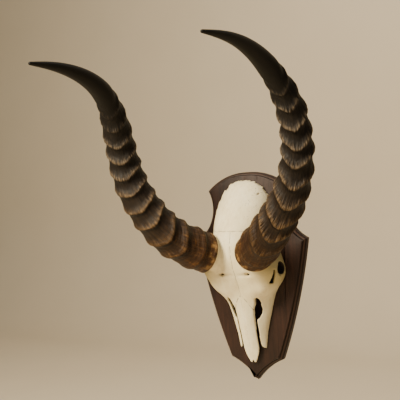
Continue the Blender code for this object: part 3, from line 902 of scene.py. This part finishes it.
def relieve(skull):
    mesh = skull.data
    co, out_way = rows_of(mesh.vertices, "co"), rows_of(mesh.vertex_normals, "vector")
    x, out, height = co[:, 0], -co[:, 1], co[:, 2] + SHIELD_HEIGHT / 2
    aside, over_cut = np.abs(x), out - SKULL_CUT
    deep = depth_under(co)
    outside = 1 - smooth(*OUTER_SKIN, deep)

    push = BROAD["depth"] * octaves(co, BROAD["scale"]) + FINE["depth"] * octaves(co, FINE["scale"])
    push -= SEAM_DEPTH * seams(x, height) * outside
    from_pit = np.hypot(x - DOME_PIT[0], height - DOME_PIT[1])
    push -= DOME_PIT_DEPTH * groove(from_pit, DOME_PIT_RADIUS) * outside
    for depth, across, up, wide, tall in SWELLS:
        push += depth * groove(np.hypot((aside - across) / wide, (height - up) / tall), 1.0) * outside

    near_board = 1 - smooth(*NEAR_BOARD, over_cut)
    worn_side = (1 - smooth(*WORN_SIDE, over_cut)) * smooth(0.0, 0.02, -x)
    ragged = octaves(np.column_stack([x, height, np.zeros(len(x))]), RAGGED["scale"], 3)
    ragged *= RAGGED["rim"] * near_board + RAGGED["worn side"] * worn_side
    push += ragged * smooth(*DOME_FROM, height)

    keep = smooth(0.0, 0.0010, over_cut) * (1 - smooth(0.0, 0.006, near_horn_seat(co)))
    co += out_way * (push * keep)[:, None]
    co[:, 1] = np.minimum(co[:, 1], -SKULL_CUT + 1e-5)
    mesh.vertices.foreach_set("co", co.astype(np.float32).ravel())
    mesh.update()

    # The eye's hole and a thin rim round it are kept with the inside, to be painted near black as painted
    # shade.
    centre, radii = PITS["eye"]
    from_eye = np.linalg.norm((np.column_stack([aside, out, height]) - centre) / radii, axis=1)
    store(mesh, "deep", np.maximum(smooth(*PAINTED_SHADE_INSIDE, deep), 1 - smooth(1.02, 1.10, from_eye)))
    mesh.shade_smooth()


def near_horn_seat(points):
    """Half of how far each point lies inside the reach of a horn's seat, and 0 beyond it."""
    close = np.zeros(len(points))
    for sign in (-1, 1):
        base = CENTRES[0] * (sign, 1, 1)
        close = np.maximum(close, SEAT_REACH - np.linalg.norm(points - base, axis=1))
    return close * 0.5


relieve(skull)
print("skull after relief:", triangles(skull), "triangles")

# %% [markdown]
# ## Bleached bone
#
# Boiled and bleached bone is a warm cream, a little yellower round the eye sockets, where grease stayed
# in it, and darker there as painted shade. It has fine pores and thin grey seams. Its surface scatters
# light softly, so it is rough with only a faint sheen. The seams between the bones are drawn as a distance
# to a wavering line, which keeps them sharp however close the camera comes. Dark flecks sit along the
# crumbling rim. A brown patch round each brow pit and the dark of the dome's pit are painted shade. The
# inside of the head is painted near black, as painted shade with the dried tissue of unwashed bone, and
# the eye's hole with a rim round it is painted near black as painted shade.


# %% The bone's material
BROW_SHADE = (0.024, 0.2118)


def bleached_bone():
    f = Finish("bleached_bone")
    x, y, z = f.axes()
    height = z + SHIELD_HEIGHT / 2
    cloud = f.noise(22.0, 4.0)
    patch = f.noise(7.0, 3.0)
    speck = f.noise(420.0, 2.0).step(0.66, 0.76)
    streak = f.noise(190.0, 3.0, f.vector(x, y, z * 0.18))
    colour = f.ramp(
        cloud * 0.6 + streak * 0.4,
        (0.30, (0.700, 0.580, 0.350)),
        (0.48, (0.800, 0.700, 0.460)),
        (0.62, (0.850, 0.770, 0.545)),
    )
    colour = f.blend(patch.step(0.46, 0.70) * 0.50, colour, (0.700, 0.590, 0.340))
    side = abs(x)
    # Yellower and darker round the eye sockets: grease stain, and painted shade in the sockets.
    grease_and_shade = side.step(0.030, 0.066) * height.step(0.175, 0.200) * height.step(0.262, 0.238)
    colour = f.blend(grease_and_shade * 0.85, colour, (0.460, 0.370, 0.155))
    # A brown patch round each brow pit: painted shade.
    brow = ((side - BROW_SHADE[0]) ** 2 * 6000 + (height - BROW_SHADE[1]) ** 2 * 36000).root()
    brow = 1 - brow.clamp()
    colour = f.blend(brow * 0.60, colour, (0.300, 0.225, 0.100))
    wander = (f.noise(60.0, 3.0, f.vector(0.0, 0.0, z)) - 0.5) * 0.0055
    midline = (1 - abs(x - wander).step(0.00015, 0.00075)) * height.step(0.062, 0.080)
    midline = midline * (0.35 + height.step(0.165, 0.190) * 0.65) * height.step(0.292, 0.288)
    across = (f.noise(70.0, 3.0, f.vector(x, 0.0, 0.0)) - 0.5) * 0.0060
    crown = 1 - abs(height - SEAM_TOP + across).step(0.00015, 0.00080)
    crown = crown * side.step(0.060, 0.050)
    nose = 1 - abs(height - nose_seam_height(side) + across * 0.7).step(0.00035, 0.0022)
    nose = nose * side.step(*reversed(NOSE_SEAM_END))
    seam = midline.most(crown).most(nose) * f.noise(130.0, 2.0).step(0.36, 0.52)
    colour = f.blend(seam * 0.85, colour, (0.240, 0.195, 0.130))
    near_board = (-y).step(SKULL_CUT + 0.013, SKULL_CUT) * height.step(0.27, 0.30)
    crumbs = f.noise(330.0, 2.0)
    dome_right = x.step(0.010, 0.028) * height.step(0.285, 0.320)
    flecks = (crumbs.step(0.54, 0.62) * near_board).most(crumbs.step(0.64, 0.71) * dome_right)
    # The dome's pit is painted dark: painted shade in it.
    pit = 1 - ((x - DOME_PIT[0]) ** 2 + (height - DOME_PIT[1]) ** 2).root().step(0.0012, 0.0024)
    marks = (speck * 0.35).most(flecks * 0.75).most(pit * 0.9)
    colour = f.blend(marks, colour, (0.200, 0.145, 0.080))
    # Painted shade: the inside of the head, with its dried tissue, and the eye's hole are painted near
    # black.
    deep = f.attribute("deep")
    colour = f.blend(deep.step(0.05, 0.75) * 0.985, colour, (0.020, 0.012, 0.008))
    relief = f.noise(520.0, 3.0) * 0.30 + streak * 0.35 - seam * 0.8 - speck * 0.4
    roughness = 0.58 + 0.16 * cloud
    return f.finish(colour, roughness, relief, 0.00035, IOR=1.45)


BONE = bleached_bone()
skull.data.materials.append(BONE)

# %% [markdown]
# ## The horns
#
# A waterbuck's horn is a sheath that grows in steps. Each step leaves a ring: from the tip's side it
# flares gently out to a lip, then drops more steeply under the lip. The rings are V shaped, lowest near
# the front, they end before the smooth tip, and fine lines run along the horn through all of them. That
# is a shape with a rule, which is what Geometry Nodes are for. The two horns grew a little differently,
# so the rings' places, their depth and the horn's girth are given for each side.
#
# The tree takes a line whose points know their front, their radius, their place among the rings and the
# ring's depth there. It makes a flat grid, one row for each station along the horn and one column for
# each direction around it, and moves every grid point to its place. Working from a grid means that each
# row can slide along the horn where the ring rises, so the mesh's own rows run along the lips.

# %% What the line carries
HORN_RADII = (
    (0.000, 0.0362), (0.060, 0.0378), (0.250, 0.0328), (0.540, 0.0252),
    (0.640, 0.0187), (0.820, 0.0104), (1.000, 0.0024),
)
GIRTH = {"left": 1.065, "right": 0.985}
FOOT_SHIFT = {"left": 0.0026, "right": 0.0050}
FOOT_SHIFT_TURN = {"left": -60.0, "right": -8.0}
RING_DEPTH = {"left": 0.0042, "right": 0.0052}
FULL_RING_DEPTH = min(RING_DEPTH.values())
RING_FADE_RADIUS = 0.020
FAINTEST_RING = 0.60
RINGS = {
    "left": (0.036, 0.080, 0.125, 0.182, 0.237, 0.298, 0.355, 0.410, 0.467, 0.529, 0.583),
    "right": (0.044, 0.096, 0.148, 0.194, 0.249, 0.303, 0.360, 0.410, 0.466, 0.527, 0.583),
}
RING_TURN = {"left": 8.0, "right": 34.0}
RING_BLUNTNESS = {"left": 0.42, "right": 0.28}


def ring_count_at(share, crests):
    """Which ring a station belongs to: a whole number at each lip, rising towards the tip."""
    known = (2 * crests[0] - crests[1], *crests, 2 * crests[-1] - crests[-2])
    return np.interp(share, known, np.arange(len(known)))


def ring_depth_at(share, side):
    """How deep the hollows between the rings are at a share of the length."""
    crests = RINGS[side]
    radius = np.interp(share, *zip(*HORN_RADII))
    fade = 1 - (1 - FAINTEST_RING) * smooth(crests[-4], crests[-1], share)
    last = 1 - smooth(crests[-1], crests[-1] + 0.05, share)
    first = smooth(crests[0] - 0.05, crests[0] + 0.01, share)
    return RING_DEPTH[side] * np.minimum(1.0, radius / RING_FADE_RADIUS) * fade * last * first


def horn_spine(side):
    """The centre line as a mesh of edges, drawn on past the foot, with what each point carries."""
    mirror = np.array([1.0 if side == "right" else -1.0, 1.0, 1.0])
    extra = round(LINE_EXTENSION * FRAME_STEPS)
    back = np.arange(-extra, 0)[:, None] / FRAME_STEPS * HORN_LENGTH
    centres = np.vstack([CENTRES[0] + TANGENTS[0] * back, CENTRES]) * mirror
    fronts = np.vstack([np.repeat(FRONTS[:1], extra, axis=0), FRONTS]) * mirror
    share = np.arange(-extra, FRAME_STEPS + 1) / FRAME_STEPS
    mesh = bpy.data.meshes.new("spine")
    mesh.from_pydata(centres.tolist(), [(i, i + 1) for i in range(len(centres) - 1)], [])
    way = mesh.attributes.new("front", "FLOAT_VECTOR", "POINT")
    way.data.foreach_set("vector", fronts.astype(np.float32).ravel())
    store(mesh, "radius_here", np.interp(share, *zip(*HORN_RADII)) * GIRTH[side])
    store(mesh, "ring_here", ring_count_at(share, RINGS[side]))
    store(mesh, "depth_here", ring_depth_at(share, side))
    return link("spine_" + side, mesh)


# %% [markdown]
# The tree itself is written in the same sums as the materials. Its first part finds where along the horn
# and which way round a grid point is, and how far the ring's V slides it along the horn. The second part
# reads the line there. The third part adds up the radius: the plain cone, less the hollow between two
# rings, plus the fine lines, the uneven growth and the crowded small rings at the foot. The foot itself
# is flat, so that the horn sits flat on its stump, and the rings' V grows in above it.

# %% The tree's inputs
INPUTS = (
    ("Rows", "NodeSocketInt", 345),
    ("Columns", "NodeSocketInt", 280),
    ("Lowest Turn", "NodeSocketFloat", 0.0),
    ("Ring Rise", "NodeSocketFloat", 0.0413),
    ("Ring Bluntness", "NodeSocketFloat", 0.26),
    ("Foot Lean", "NodeSocketFloat", 0.0172),
    ("Foot Shift", "NodeSocketFloat", 0.0),
    ("Foot Shift Turn", "NodeSocketFloat", 0.0),
    ("Line Depth", "NodeSocketFloat", 0.0030),
    ("Seed", "NodeSocketFloat", 0.0),
    ("Finish", "NodeSocketMaterial", None),
)
FOOT_ROWS = 0.014
TIP_ROWS = 0.012
TIP_STARTS = 0.9965
TIP_REACH = 0.004
RIM_ROUND = 0.0045
RIM_DROP = 0.0026
RINGED_ROWS = 0.80
RINGED_SHARE = 0.62
RING_EVENNESS = 0.12
RING_WAVER = 0.016
GROWTH_DEPTH = 0.0028
FOOT_RING_DEPTH = 0.0034
LINES_AROUND = 15
LINES_ALONG = 50
RING_SHAPE = (
    (0.00, 0.00), (0.05, 0.04), (0.12, 0.20), (0.22, 0.50), (0.34, 0.78), (0.48, 0.95),
    (0.62, 1.00), (0.76, 0.93), (0.87, 0.64), (0.95, 0.20), (1.00, 0.00),
)


def horn_tree():
    tree = bpy.data.node_groups.new("ringed_horn", "GeometryNodeTree")
    face = tree.interface
    face.new_socket("Geometry", in_out="INPUT", socket_type="NodeSocketGeometry")
    face.new_socket("Geometry", in_out="OUTPUT", socket_type="NodeSocketGeometry")
    for name, kind, default in INPUTS:
        socket = face.new_socket(name, in_out="INPUT", socket_type=kind)
        if default is not None:
            socket.default_value = default
    given = add(tree, "NodeGroupInput")

    def node(kind, settings=None, values=None, out=0):
        return add(tree, kind, settings, values, out)

    def vector_math(operation, first, second):
        return node("ShaderNodeVectorMath", {"operation": operation}, {0: first, 1: second}, "Vector")

    def scaled(vector, factor):
        values = {"Vector": vector, "Scale": factor}
        return node("ShaderNodeVectorMath", {"operation": "SCALE"}, values, "Vector")

    def round_place(turn, wide, along):
        """A place for noise to be read at that meets itself after a full turn."""
        values = {"X": turn.cos() * wide, "Y": turn.sin() * wide, "Z": along}
        return node("ShaderNodeCombineXYZ", values=values)

    def seeded_noise(vector, scale, detail, shift=0.0):
        """Noise on both sides of 0 that differs with the seed."""
        values = {"Vector": vector, "W": given.out("Seed") + shift, "Scale": scale, "Detail": detail}
        return node("ShaderNodeTexNoise", {"noise_dimensions": "4D"}, values, "Fac") - 0.5

    def kept_on(mesh, name, value, kind="FLOAT"):
        values = {"Geometry": mesh, "Name": name, "Value": value}
        settings = {"data_type": kind, "domain": "POINT"}
        return node("GeometryNodeStoreNamedAttribute", settings, values)

    # Where on the grid: a foot of a few rows, the horn, and a few rows that round off the tip
    counts = {"Vertices X": given.out("Rows"), "Vertices Y": given.out("Columns")}
    sheet = node("GeometryNodeMeshGrid", values={"Size X": 1.0, "Size Y": 1.0, **counts}, out="Mesh")
    split = node("ShaderNodeSeparateXYZ", values={0: node("GeometryNodeInputPosition")})
    row, turn = split.out("X") + 0.5, (split.out("Y") + 0.5) * (2 * math.pi)
    foot = (row / FOOT_ROWS).clamp()
    tip = ((1 - row) / TIP_ROWS).clamp()
    share = ((row - FOOT_ROWS) / (1 - FOOT_ROWS - TIP_ROWS)).clamp()
    slow, quick = RINGED_SHARE / RINGED_ROWS, (1 - RINGED_SHARE) / (1 - RINGED_ROWS)
    share = (share * slow + (share - RINGED_ROWS).most(0.0) * (quick - slow)) * TIP_STARTS
    share = share + (1 - tip).sin() * TIP_REACH

    # How far the row slides along the horn here
    steep = share.step(0.0, 0.10)
    facing = (turn - given.out("Lowest Turn")).cos()
    chord = (2 - 2 * facing + given.out("Ring Bluntness") ** 2).root()
    rise = (chord - given.out("Ring Bluntness")) * given.out("Ring Rise") * share.step(0.80, 0.56)
    around = round_place(turn, 1.0, share * 16)
    rise = rise + seeded_noise(around, 2.2, 2.0) * RING_WAVER * share.step(0.80, 0.50)
    lean = -turn.cos() * given.out("Foot Lean")
    here = share + foot * (1 - steep) * lean + steep * rise
    factor = (here + LINE_EXTENSION) / (1 + LINE_EXTENSION)

    # Read the line there
    line = node("GeometryNodeMeshToCurve", values={"Mesh": given.out("Geometry")})

    def carried(name, where, kind="FLOAT"):
        known = node("GeometryNodeInputNamedAttribute", {"data_type": kind}, {"Name": name}, "Attribute")
        values = {"Curves": line, "Value": known, "Factor": where}
        return node("GeometryNodeSampleCurve", {"data_type": kind, "mode": "FACTOR"}, values, "Value")

    at_row = (share + LINE_EXTENSION) / (1 + LINE_EXTENSION)
    front = carried("front", factor, "FLOAT_VECTOR")
    centre, tangent = front.out("Position"), front.out("Tangent")
    radius = carried("radius_here", factor)
    ring = carried("ring_here", at_row)
    depth = carried("depth_here", at_row)

    # The hollow between two rings, deepest where the V is lowest
    phase = ring.math("FRACT", ring)
    drop = node("ShaderNodeFloatCurve", {"curve": RING_SHAPE}, {"Value": phase})
    hollow = drop * depth * (1 - RING_EVENNESS + facing * RING_EVENNESS)

    # Fine lines along the horn, and the uneven growth that bends every ring a little
    thread = round_place(turn, LINES_AROUND, share * LINES_ALONG)
    lines = seeded_noise(thread, 1.0, 1.0)
    growth = seeded_noise(around, 1.3, 3.0, 7.0)
    lip = 1 - drop
    strength = share.step(0.62, 0.52) * (0.12 + lip * 0.88) * share.step(0.02, 0.10)
    relief = lines * given.out("Line Depth") * strength
    relief = relief + growth * GROWTH_DEPTH * share.step(0.75, 0.40)

    # Crowded shallow rings at the foot, its rounded rim, and a foot that sits a little to one side
    crowded = seeded_noise(round_place(turn, 1.0, share * 150), 1.0, 1.0) * FOOT_RING_DEPTH
    relief = relief + crowded * share.step(0.19, 0.07)
    rim = ((RIM_ROUND - share) / RIM_ROUND).clamp()
    rim = (1 - (1 - rim * rim).root()) * RIM_DROP
    shift = (turn - given.out("Foot Shift Turn")).cos() * given.out("Foot Shift") * share.step(0.24, 0.04)
    girth = radius - hollow + shift + relief * share.step(0.0, 0.008) - rim
    girth = girth * foot * (1 - (1 - tip) * (1 - tip)).root()

    # Put the point there, and keep what the material needs
    across = vector_math("CROSS_PRODUCT", tangent, front)
    away = vector_math("ADD", scaled(front, turn.cos() * girth), scaled(across, turn.sin() * girth))
    position = vector_math("ADD", centre, away)
    strong = (depth / FULL_RING_DEPTH).clamp()
    # The underside of each lip, kept for the painted shadow under it.
    under = phase.step(0.60, 0.90) * phase.step(1.0, 0.94) * strong
    kept = {"share": here, "lip": lip * strong, "under": under, "lines": lines}
    for name, value in kept.items():
        sheet = kept_on(sheet, name, value)
    sheet = kept_on(sheet, "skin", thread, "FLOAT_VECTOR")
    horn = node("GeometryNodeSetPosition", values={"Geometry": sheet, "Position": position})
    horn = node("GeometryNodeMergeByDistance", values={"Geometry": horn, "Distance": 0.00001})
    horn = node("GeometryNodeRealizeInstances", values={"Geometry": horn})
    horn = node("GeometryNodeSetShadeSmooth", values={0: horn})
    horn = node("GeometryNodeSetMaterial", values={"Geometry": horn, "Material": given.out("Finish")})
    node("NodeGroupOutput", values={0: horn})
    return tree


HORN_TREE = horn_tree()
print("horn tree:", len(HORN_TREE.nodes), "nodes")

# %% [markdown]
# ## Horn
#
# Horn is the same stuff as hooves: nearly black where it is polished at the tip, brown where the light
# gets into it, and orange-brown at the foot, where the youngest horn is thin. The lips of the rings are
# rubbed pale in short strokes and carry painted highlights and glints, and the foot's rim gets a painted
# golden highlight. Painted shadow is laid under the lips and painted shade in the hollows between the
# rings. All of that is written with what the tree kept on the mesh: how far along a point is, how close
# to a lip it is, whether it lies under one, and a place on the unrolled skin where stretched noise gives
# strokes that run along the horn.


# %% The horn's material
def dark_horn():
    f = Finish("horn")
    share, lip, under, lines = (f.attribute(name) for name in ("share", "lip", "under", "lines"))
    skin = f.attribute("skin", out="Vector")
    fine = f.noise(2.6, 3.0, f.stretched((1.0, 1.0, 0.25), skin), 0.65)
    hatch = f.noise(1.25, 1.0, f.stretched((1.0, 1.0, 0.25), skin)).step(0.48, 0.60)
    broad = f.noise(26.0, 3.0)
    crowded = f.noise(1.0, 4.0, f.stretched((0.10, 0.10, 8.2), skin), 0.6)
    body = f.ramp(
        share + (broad - 0.5) * 0.12,
        (0.00, (0.052, 0.0180, 0.0030)),
        (0.05, (0.028, 0.0105, 0.0024)),
        (0.14, (0.0110, 0.0048, 0.0015)),
        (0.40, (0.0052, 0.0028, 0.0013)),
        (0.60, (0.0032, 0.0021, 0.0013)),
        (0.80, (0.0030, 0.0020, 0.0013)),
    )
    ridged = (lines * 4.4 + (fine - 0.5) * 1.4 + 0.42).clamp()
    # The lips are rubbed paler, and painted highlights are laid on them.
    worn = lip.step(0.50, 1.0) * ridged.most(hatch * 0.7) * 0.60 + lip.step(0.10, 0.70) * hatch * 0.32
    worn = worn + lip.step(0.85, 1.0) * 0.10
    light = f.ramp(
        share,
        (0.00, (0.190, 0.084, 0.018)),
        (0.12, (0.125, 0.067, 0.024)),
        (0.32, (0.100, 0.063, 0.032)),
        (0.50, (0.108, 0.078, 0.050)),
        (0.66, (0.098, 0.075, 0.051)),
    )
    colour = f.blend(worn.clamp() * share.step(0.72, 0.60) * share.step(0.02, 0.10) * 0.80, body, light)
    streaks = (fine - 0.48).clamp() * 1.2 + hatch * (lip * 0.20 + 0.04 + share.step(0.42, 0.18) * 0.13)
    colour = f.blend(streaks * share.step(0.66, 0.50), colour, light)
    # Glints on the lips' teeth: painted highlights.
    tooth = f.noise(0.95, 1.0, f.stretched((1.0, 1.0, 0.15), skin)).step(0.50, 0.60)
    glint = tooth * lip.step(0.55, 0.92) * share.step(0.08, 0.20) * share.step(0.74, 0.62)
    spark = f.ramp(
        share,
        (0.12, (0.205, 0.120, 0.050)),
        (0.40, (0.215, 0.155, 0.094)),
        (0.60, (0.250, 0.198, 0.140)),
    )
    colour = f.blend(glint * 0.44, colour, spark)
    # Painted shadow under the lips and painted shade in the hollows between the rings.
    hollow = lip.step(0.45, 0.0) * share.step(0.05, 0.14) * share.step(0.70, 0.60)
    colour = f.blend((under * 0.85).most(hollow * 0.45).clamp(), colour, (0.0030, 0.0018, 0.0011))
    foot = share.step(0.20, 0.06)
    colour = f.blend(crowded.step(0.50, 0.38) * foot * 0.80, colour, (0.020, 0.008, 0.003))
    colour = f.blend(crowded.step(0.54, 0.68) * foot * 0.40, colour, (0.200, 0.078, 0.016))
    blotch = f.noise(75.0, 4.0)
    colour = f.blend(blotch.step(0.60, 0.42) * foot * 0.50, colour, (0.014, 0.0062, 0.0024))
    # The foot's rim gets a painted golden highlight.
    rim = share.step(0.013, 0.002) * blotch.step(0.42, 0.66) * fine.step(0.20, 0.60)
    colour = f.blend(rim * 0.55, colour, (0.400, 0.230, 0.080))
    strokes = (fine + hatch * 0.6) * (0.5 + lip * 0.6) * share.step(0.75, 0.50)
    relief = strokes + broad * 0.15 + crowded * foot
    roughness = 0.42 + 0.20 * fine + 0.04 * share
    return f.finish(colour, roughness, relief, 0.0009, **{"IOR": 1.5, "Specular IOR Level": 0.20})


HORN = dark_horn()

# %% [markdown]
# The same tree grows both horns. What differs is the line with what it carries, the turn where the rings
# are lowest, how blunt their V is, how far and which way the foot is shifted, and the seed. All but the
# line are given through the modifier's inputs, by each socket's identifier. The evaluated result is then
# copied to a plain mesh, and the line and its modifier are thrown away.


# %% Grow the horns
def grow_horn(side, seed):
    spine = horn_spine(side)
    modifier = spine.modifiers.new("horn", "NODES")
    modifier.node_group = HORN_TREE
    ids = {s.name: s.identifier for s in HORN_TREE.interface.items_tree if s.in_out == "INPUT"}
    given = {
        "Lowest Turn": math.radians(RING_TURN[side]),
        "Ring Bluntness": RING_BLUNTNESS[side],
        "Foot Shift": FOOT_SHIFT[side],
        "Foot Shift Turn": math.radians(FOOT_SHIFT_TURN[side]),
        "Seed": seed,
        "Finish": HORN,
    }
    for name, value in given.items():
        modifier[ids[name]] = value
    horn = settle(spine, "ringed_horn_" + side)
    bm = bmesh.new()
    bm.from_mesh(horn.data)
    bmesh.ops.recalc_face_normals(bm, faces=bm.faces)
    loose = sum(not e.is_manifold for e in bm.edges)
    bm.to_mesh(horn.data)
    bm.free()
    print(horn.name, triangles(horn), "triangles,", loose, "open edges")
    return horn


horns = {"left": grow_horn("left", 2.0), "right": grow_horn("right", 5.0)}

# %% [markdown]
# ## Fittings
#
# The hanger and the screws are small and plain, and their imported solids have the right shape, so those
# stay and only get a finish. Brass and zinc both show fine scratches from handling: noise that is
# stretched one way, in the roughness more than in the colour.


# %% Metals
def scratched_metal(name, dark, bright, rough):
    f = Finish(name)
    x, y, z = f.axes()
    scratch = f.noise(900.0, 3.0, f.vector(x * 0.15, y, z))
    stain = f.noise(160.0, 3.0)
    colour = f.blend(stain.step(0.35, 0.70), dark, bright)
    roughness = rough + 0.22 * scratch + 0.10 * stain
    return f.finish(colour, roughness, scratch, 0.00004, Metallic=1.0)


BRASS = scratched_metal("brass_plate", (0.420, 0.290, 0.110), (0.660, 0.490, 0.220), 0.24)
STEEL = scratched_metal("screw_steel", (0.340, 0.345, 0.350), (0.540, 0.545, 0.540), 0.28)
FITTINGS = {
    "hanger_plate": BRASS,
    "hanger_screw_lower": BRASS,
    "hanger_screw_upper": BRASS,
    "skull_screw_lower": STEEL,
    "skull_screw_upper": STEEL,
}
for name, metal in FITTINGS.items():
    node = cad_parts[name]
    node.data.materials.clear()
    node.data.materials.append(metal)
print("fittings:", ", ".join(FITTINGS))

# %% [markdown]
# ## Join the looks to the model
#
# Each finer piece stands for its imported solid and moves with the same body.

# %% Ride and replace
PIECES = (
    (board, "shield", "stained_wood"),
    (skull, "skull", "bleached_bone"),
    (horns["left"], "horn_left", "horn"),
    (horns["right"], "horn_right", "horn"),
)
for piece, node_name, slot in PIECES:
    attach(piece, "root")
    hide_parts(node_name)

# %% [markdown]
# ## Stage and light
#
# The stage is a pale floor that curves up into a pale backdrop, far enough away to be out of the shade.
# One large soft light in front, above and to the left models the bone, a weak one fills from the right,
# a third lights only the backdrop, and the world gives an even warm grey for the rest.

# %% Stage
FLOOR = -0.75
BACK = 3.2
FRONT = -3.2
SIDE = 4.0
CORNER = 0.9
CORNER_STEPS = 16
BACKDROP_TOP = 3.5


def make_stage():
    profile = [(FRONT, FLOOR), (BACK - CORNER, FLOOR)]
    for i in range(1, CORNER_STEPS + 1):
        t = math.pi / 2 * i / CORNER_STEPS
        profile.append((BACK - CORNER + CORNER * math.sin(t), FLOOR + CORNER - CORNER * math.cos(t)))
    profile.append((BACK, BACKDROP_TOP))
    points = [(x, y, z) for y, z in profile for x in (-SIDE, SIDE)]
    faces = [(2 * i, 2 * i + 1, 2 * i + 3, 2 * i + 2) for i in range(len(profile) - 1)]
    mesh = bpy.data.meshes.new("backdrop")
    mesh.from_pydata(points, [], faces)
    mesh.shade_smooth()
    stage = link("backdrop", mesh)
    f = Finish("pale_paper")
    tone = f.noise(3.0, 2.0)
    mesh.materials.append(f.finish(f.blend(tone, (0.70, 0.60, 0.45), (0.74, 0.64, 0.49)), 0.85))
    return stage


make_stage()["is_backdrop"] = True


# %% Lights
def area_light(name, place, target, size, power, colour):
    data = bpy.data.lights.new(name, "AREA")
    data.shape = "DISK"
    data.size = size
    data.energy = power
    data.color = colour
    lamp = bpy.data.objects.new(name, data)
    lamp.location = place
    lamp.rotation_euler = (Vector(target) - Vector(place)).to_track_quat("-Z", "Y").to_euler()
    bpy.context.scene.collection.objects.link(lamp)


TROPHY = (0.0, -0.1, 0.05)
area_light("key", (-0.95, -2.0, 1.6), TROPHY, 1.4, 205.0, (1.0, 0.88, 0.66))
area_light("fill", (1.9, -1.5, 0.9), TROPHY, 1.6, 5.0, (1.0, 0.90, 0.76))
area_light("paper", (0.0, 1.0, 2.7), (0.0, 3.2, 0.3), 2.0, 40.0, (1.0, 0.92, 0.80))

world = bpy.data.worlds.new("soft_world")
world.use_nodes = True
sky = world.node_tree.nodes["Background"].inputs
sky["Color"].default_value = (0.84, 0.77, 0.66, 1.0)
sky["Strength"].default_value = 0.15
bpy.context.scene.world = world

# %% [markdown]
#
# The looks may not outgrow the imported model. Both boxes are printed, so that they can be compared.

# %% Print the sizes and finish
LOOK_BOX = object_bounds()
sizes = {"cad": [list(c) for c in CAD_BOX], "visual": [list(c) for c in LOOK_BOX]}
print("packed box", sizes["cad"])
print("shown box ", sizes["visual"])
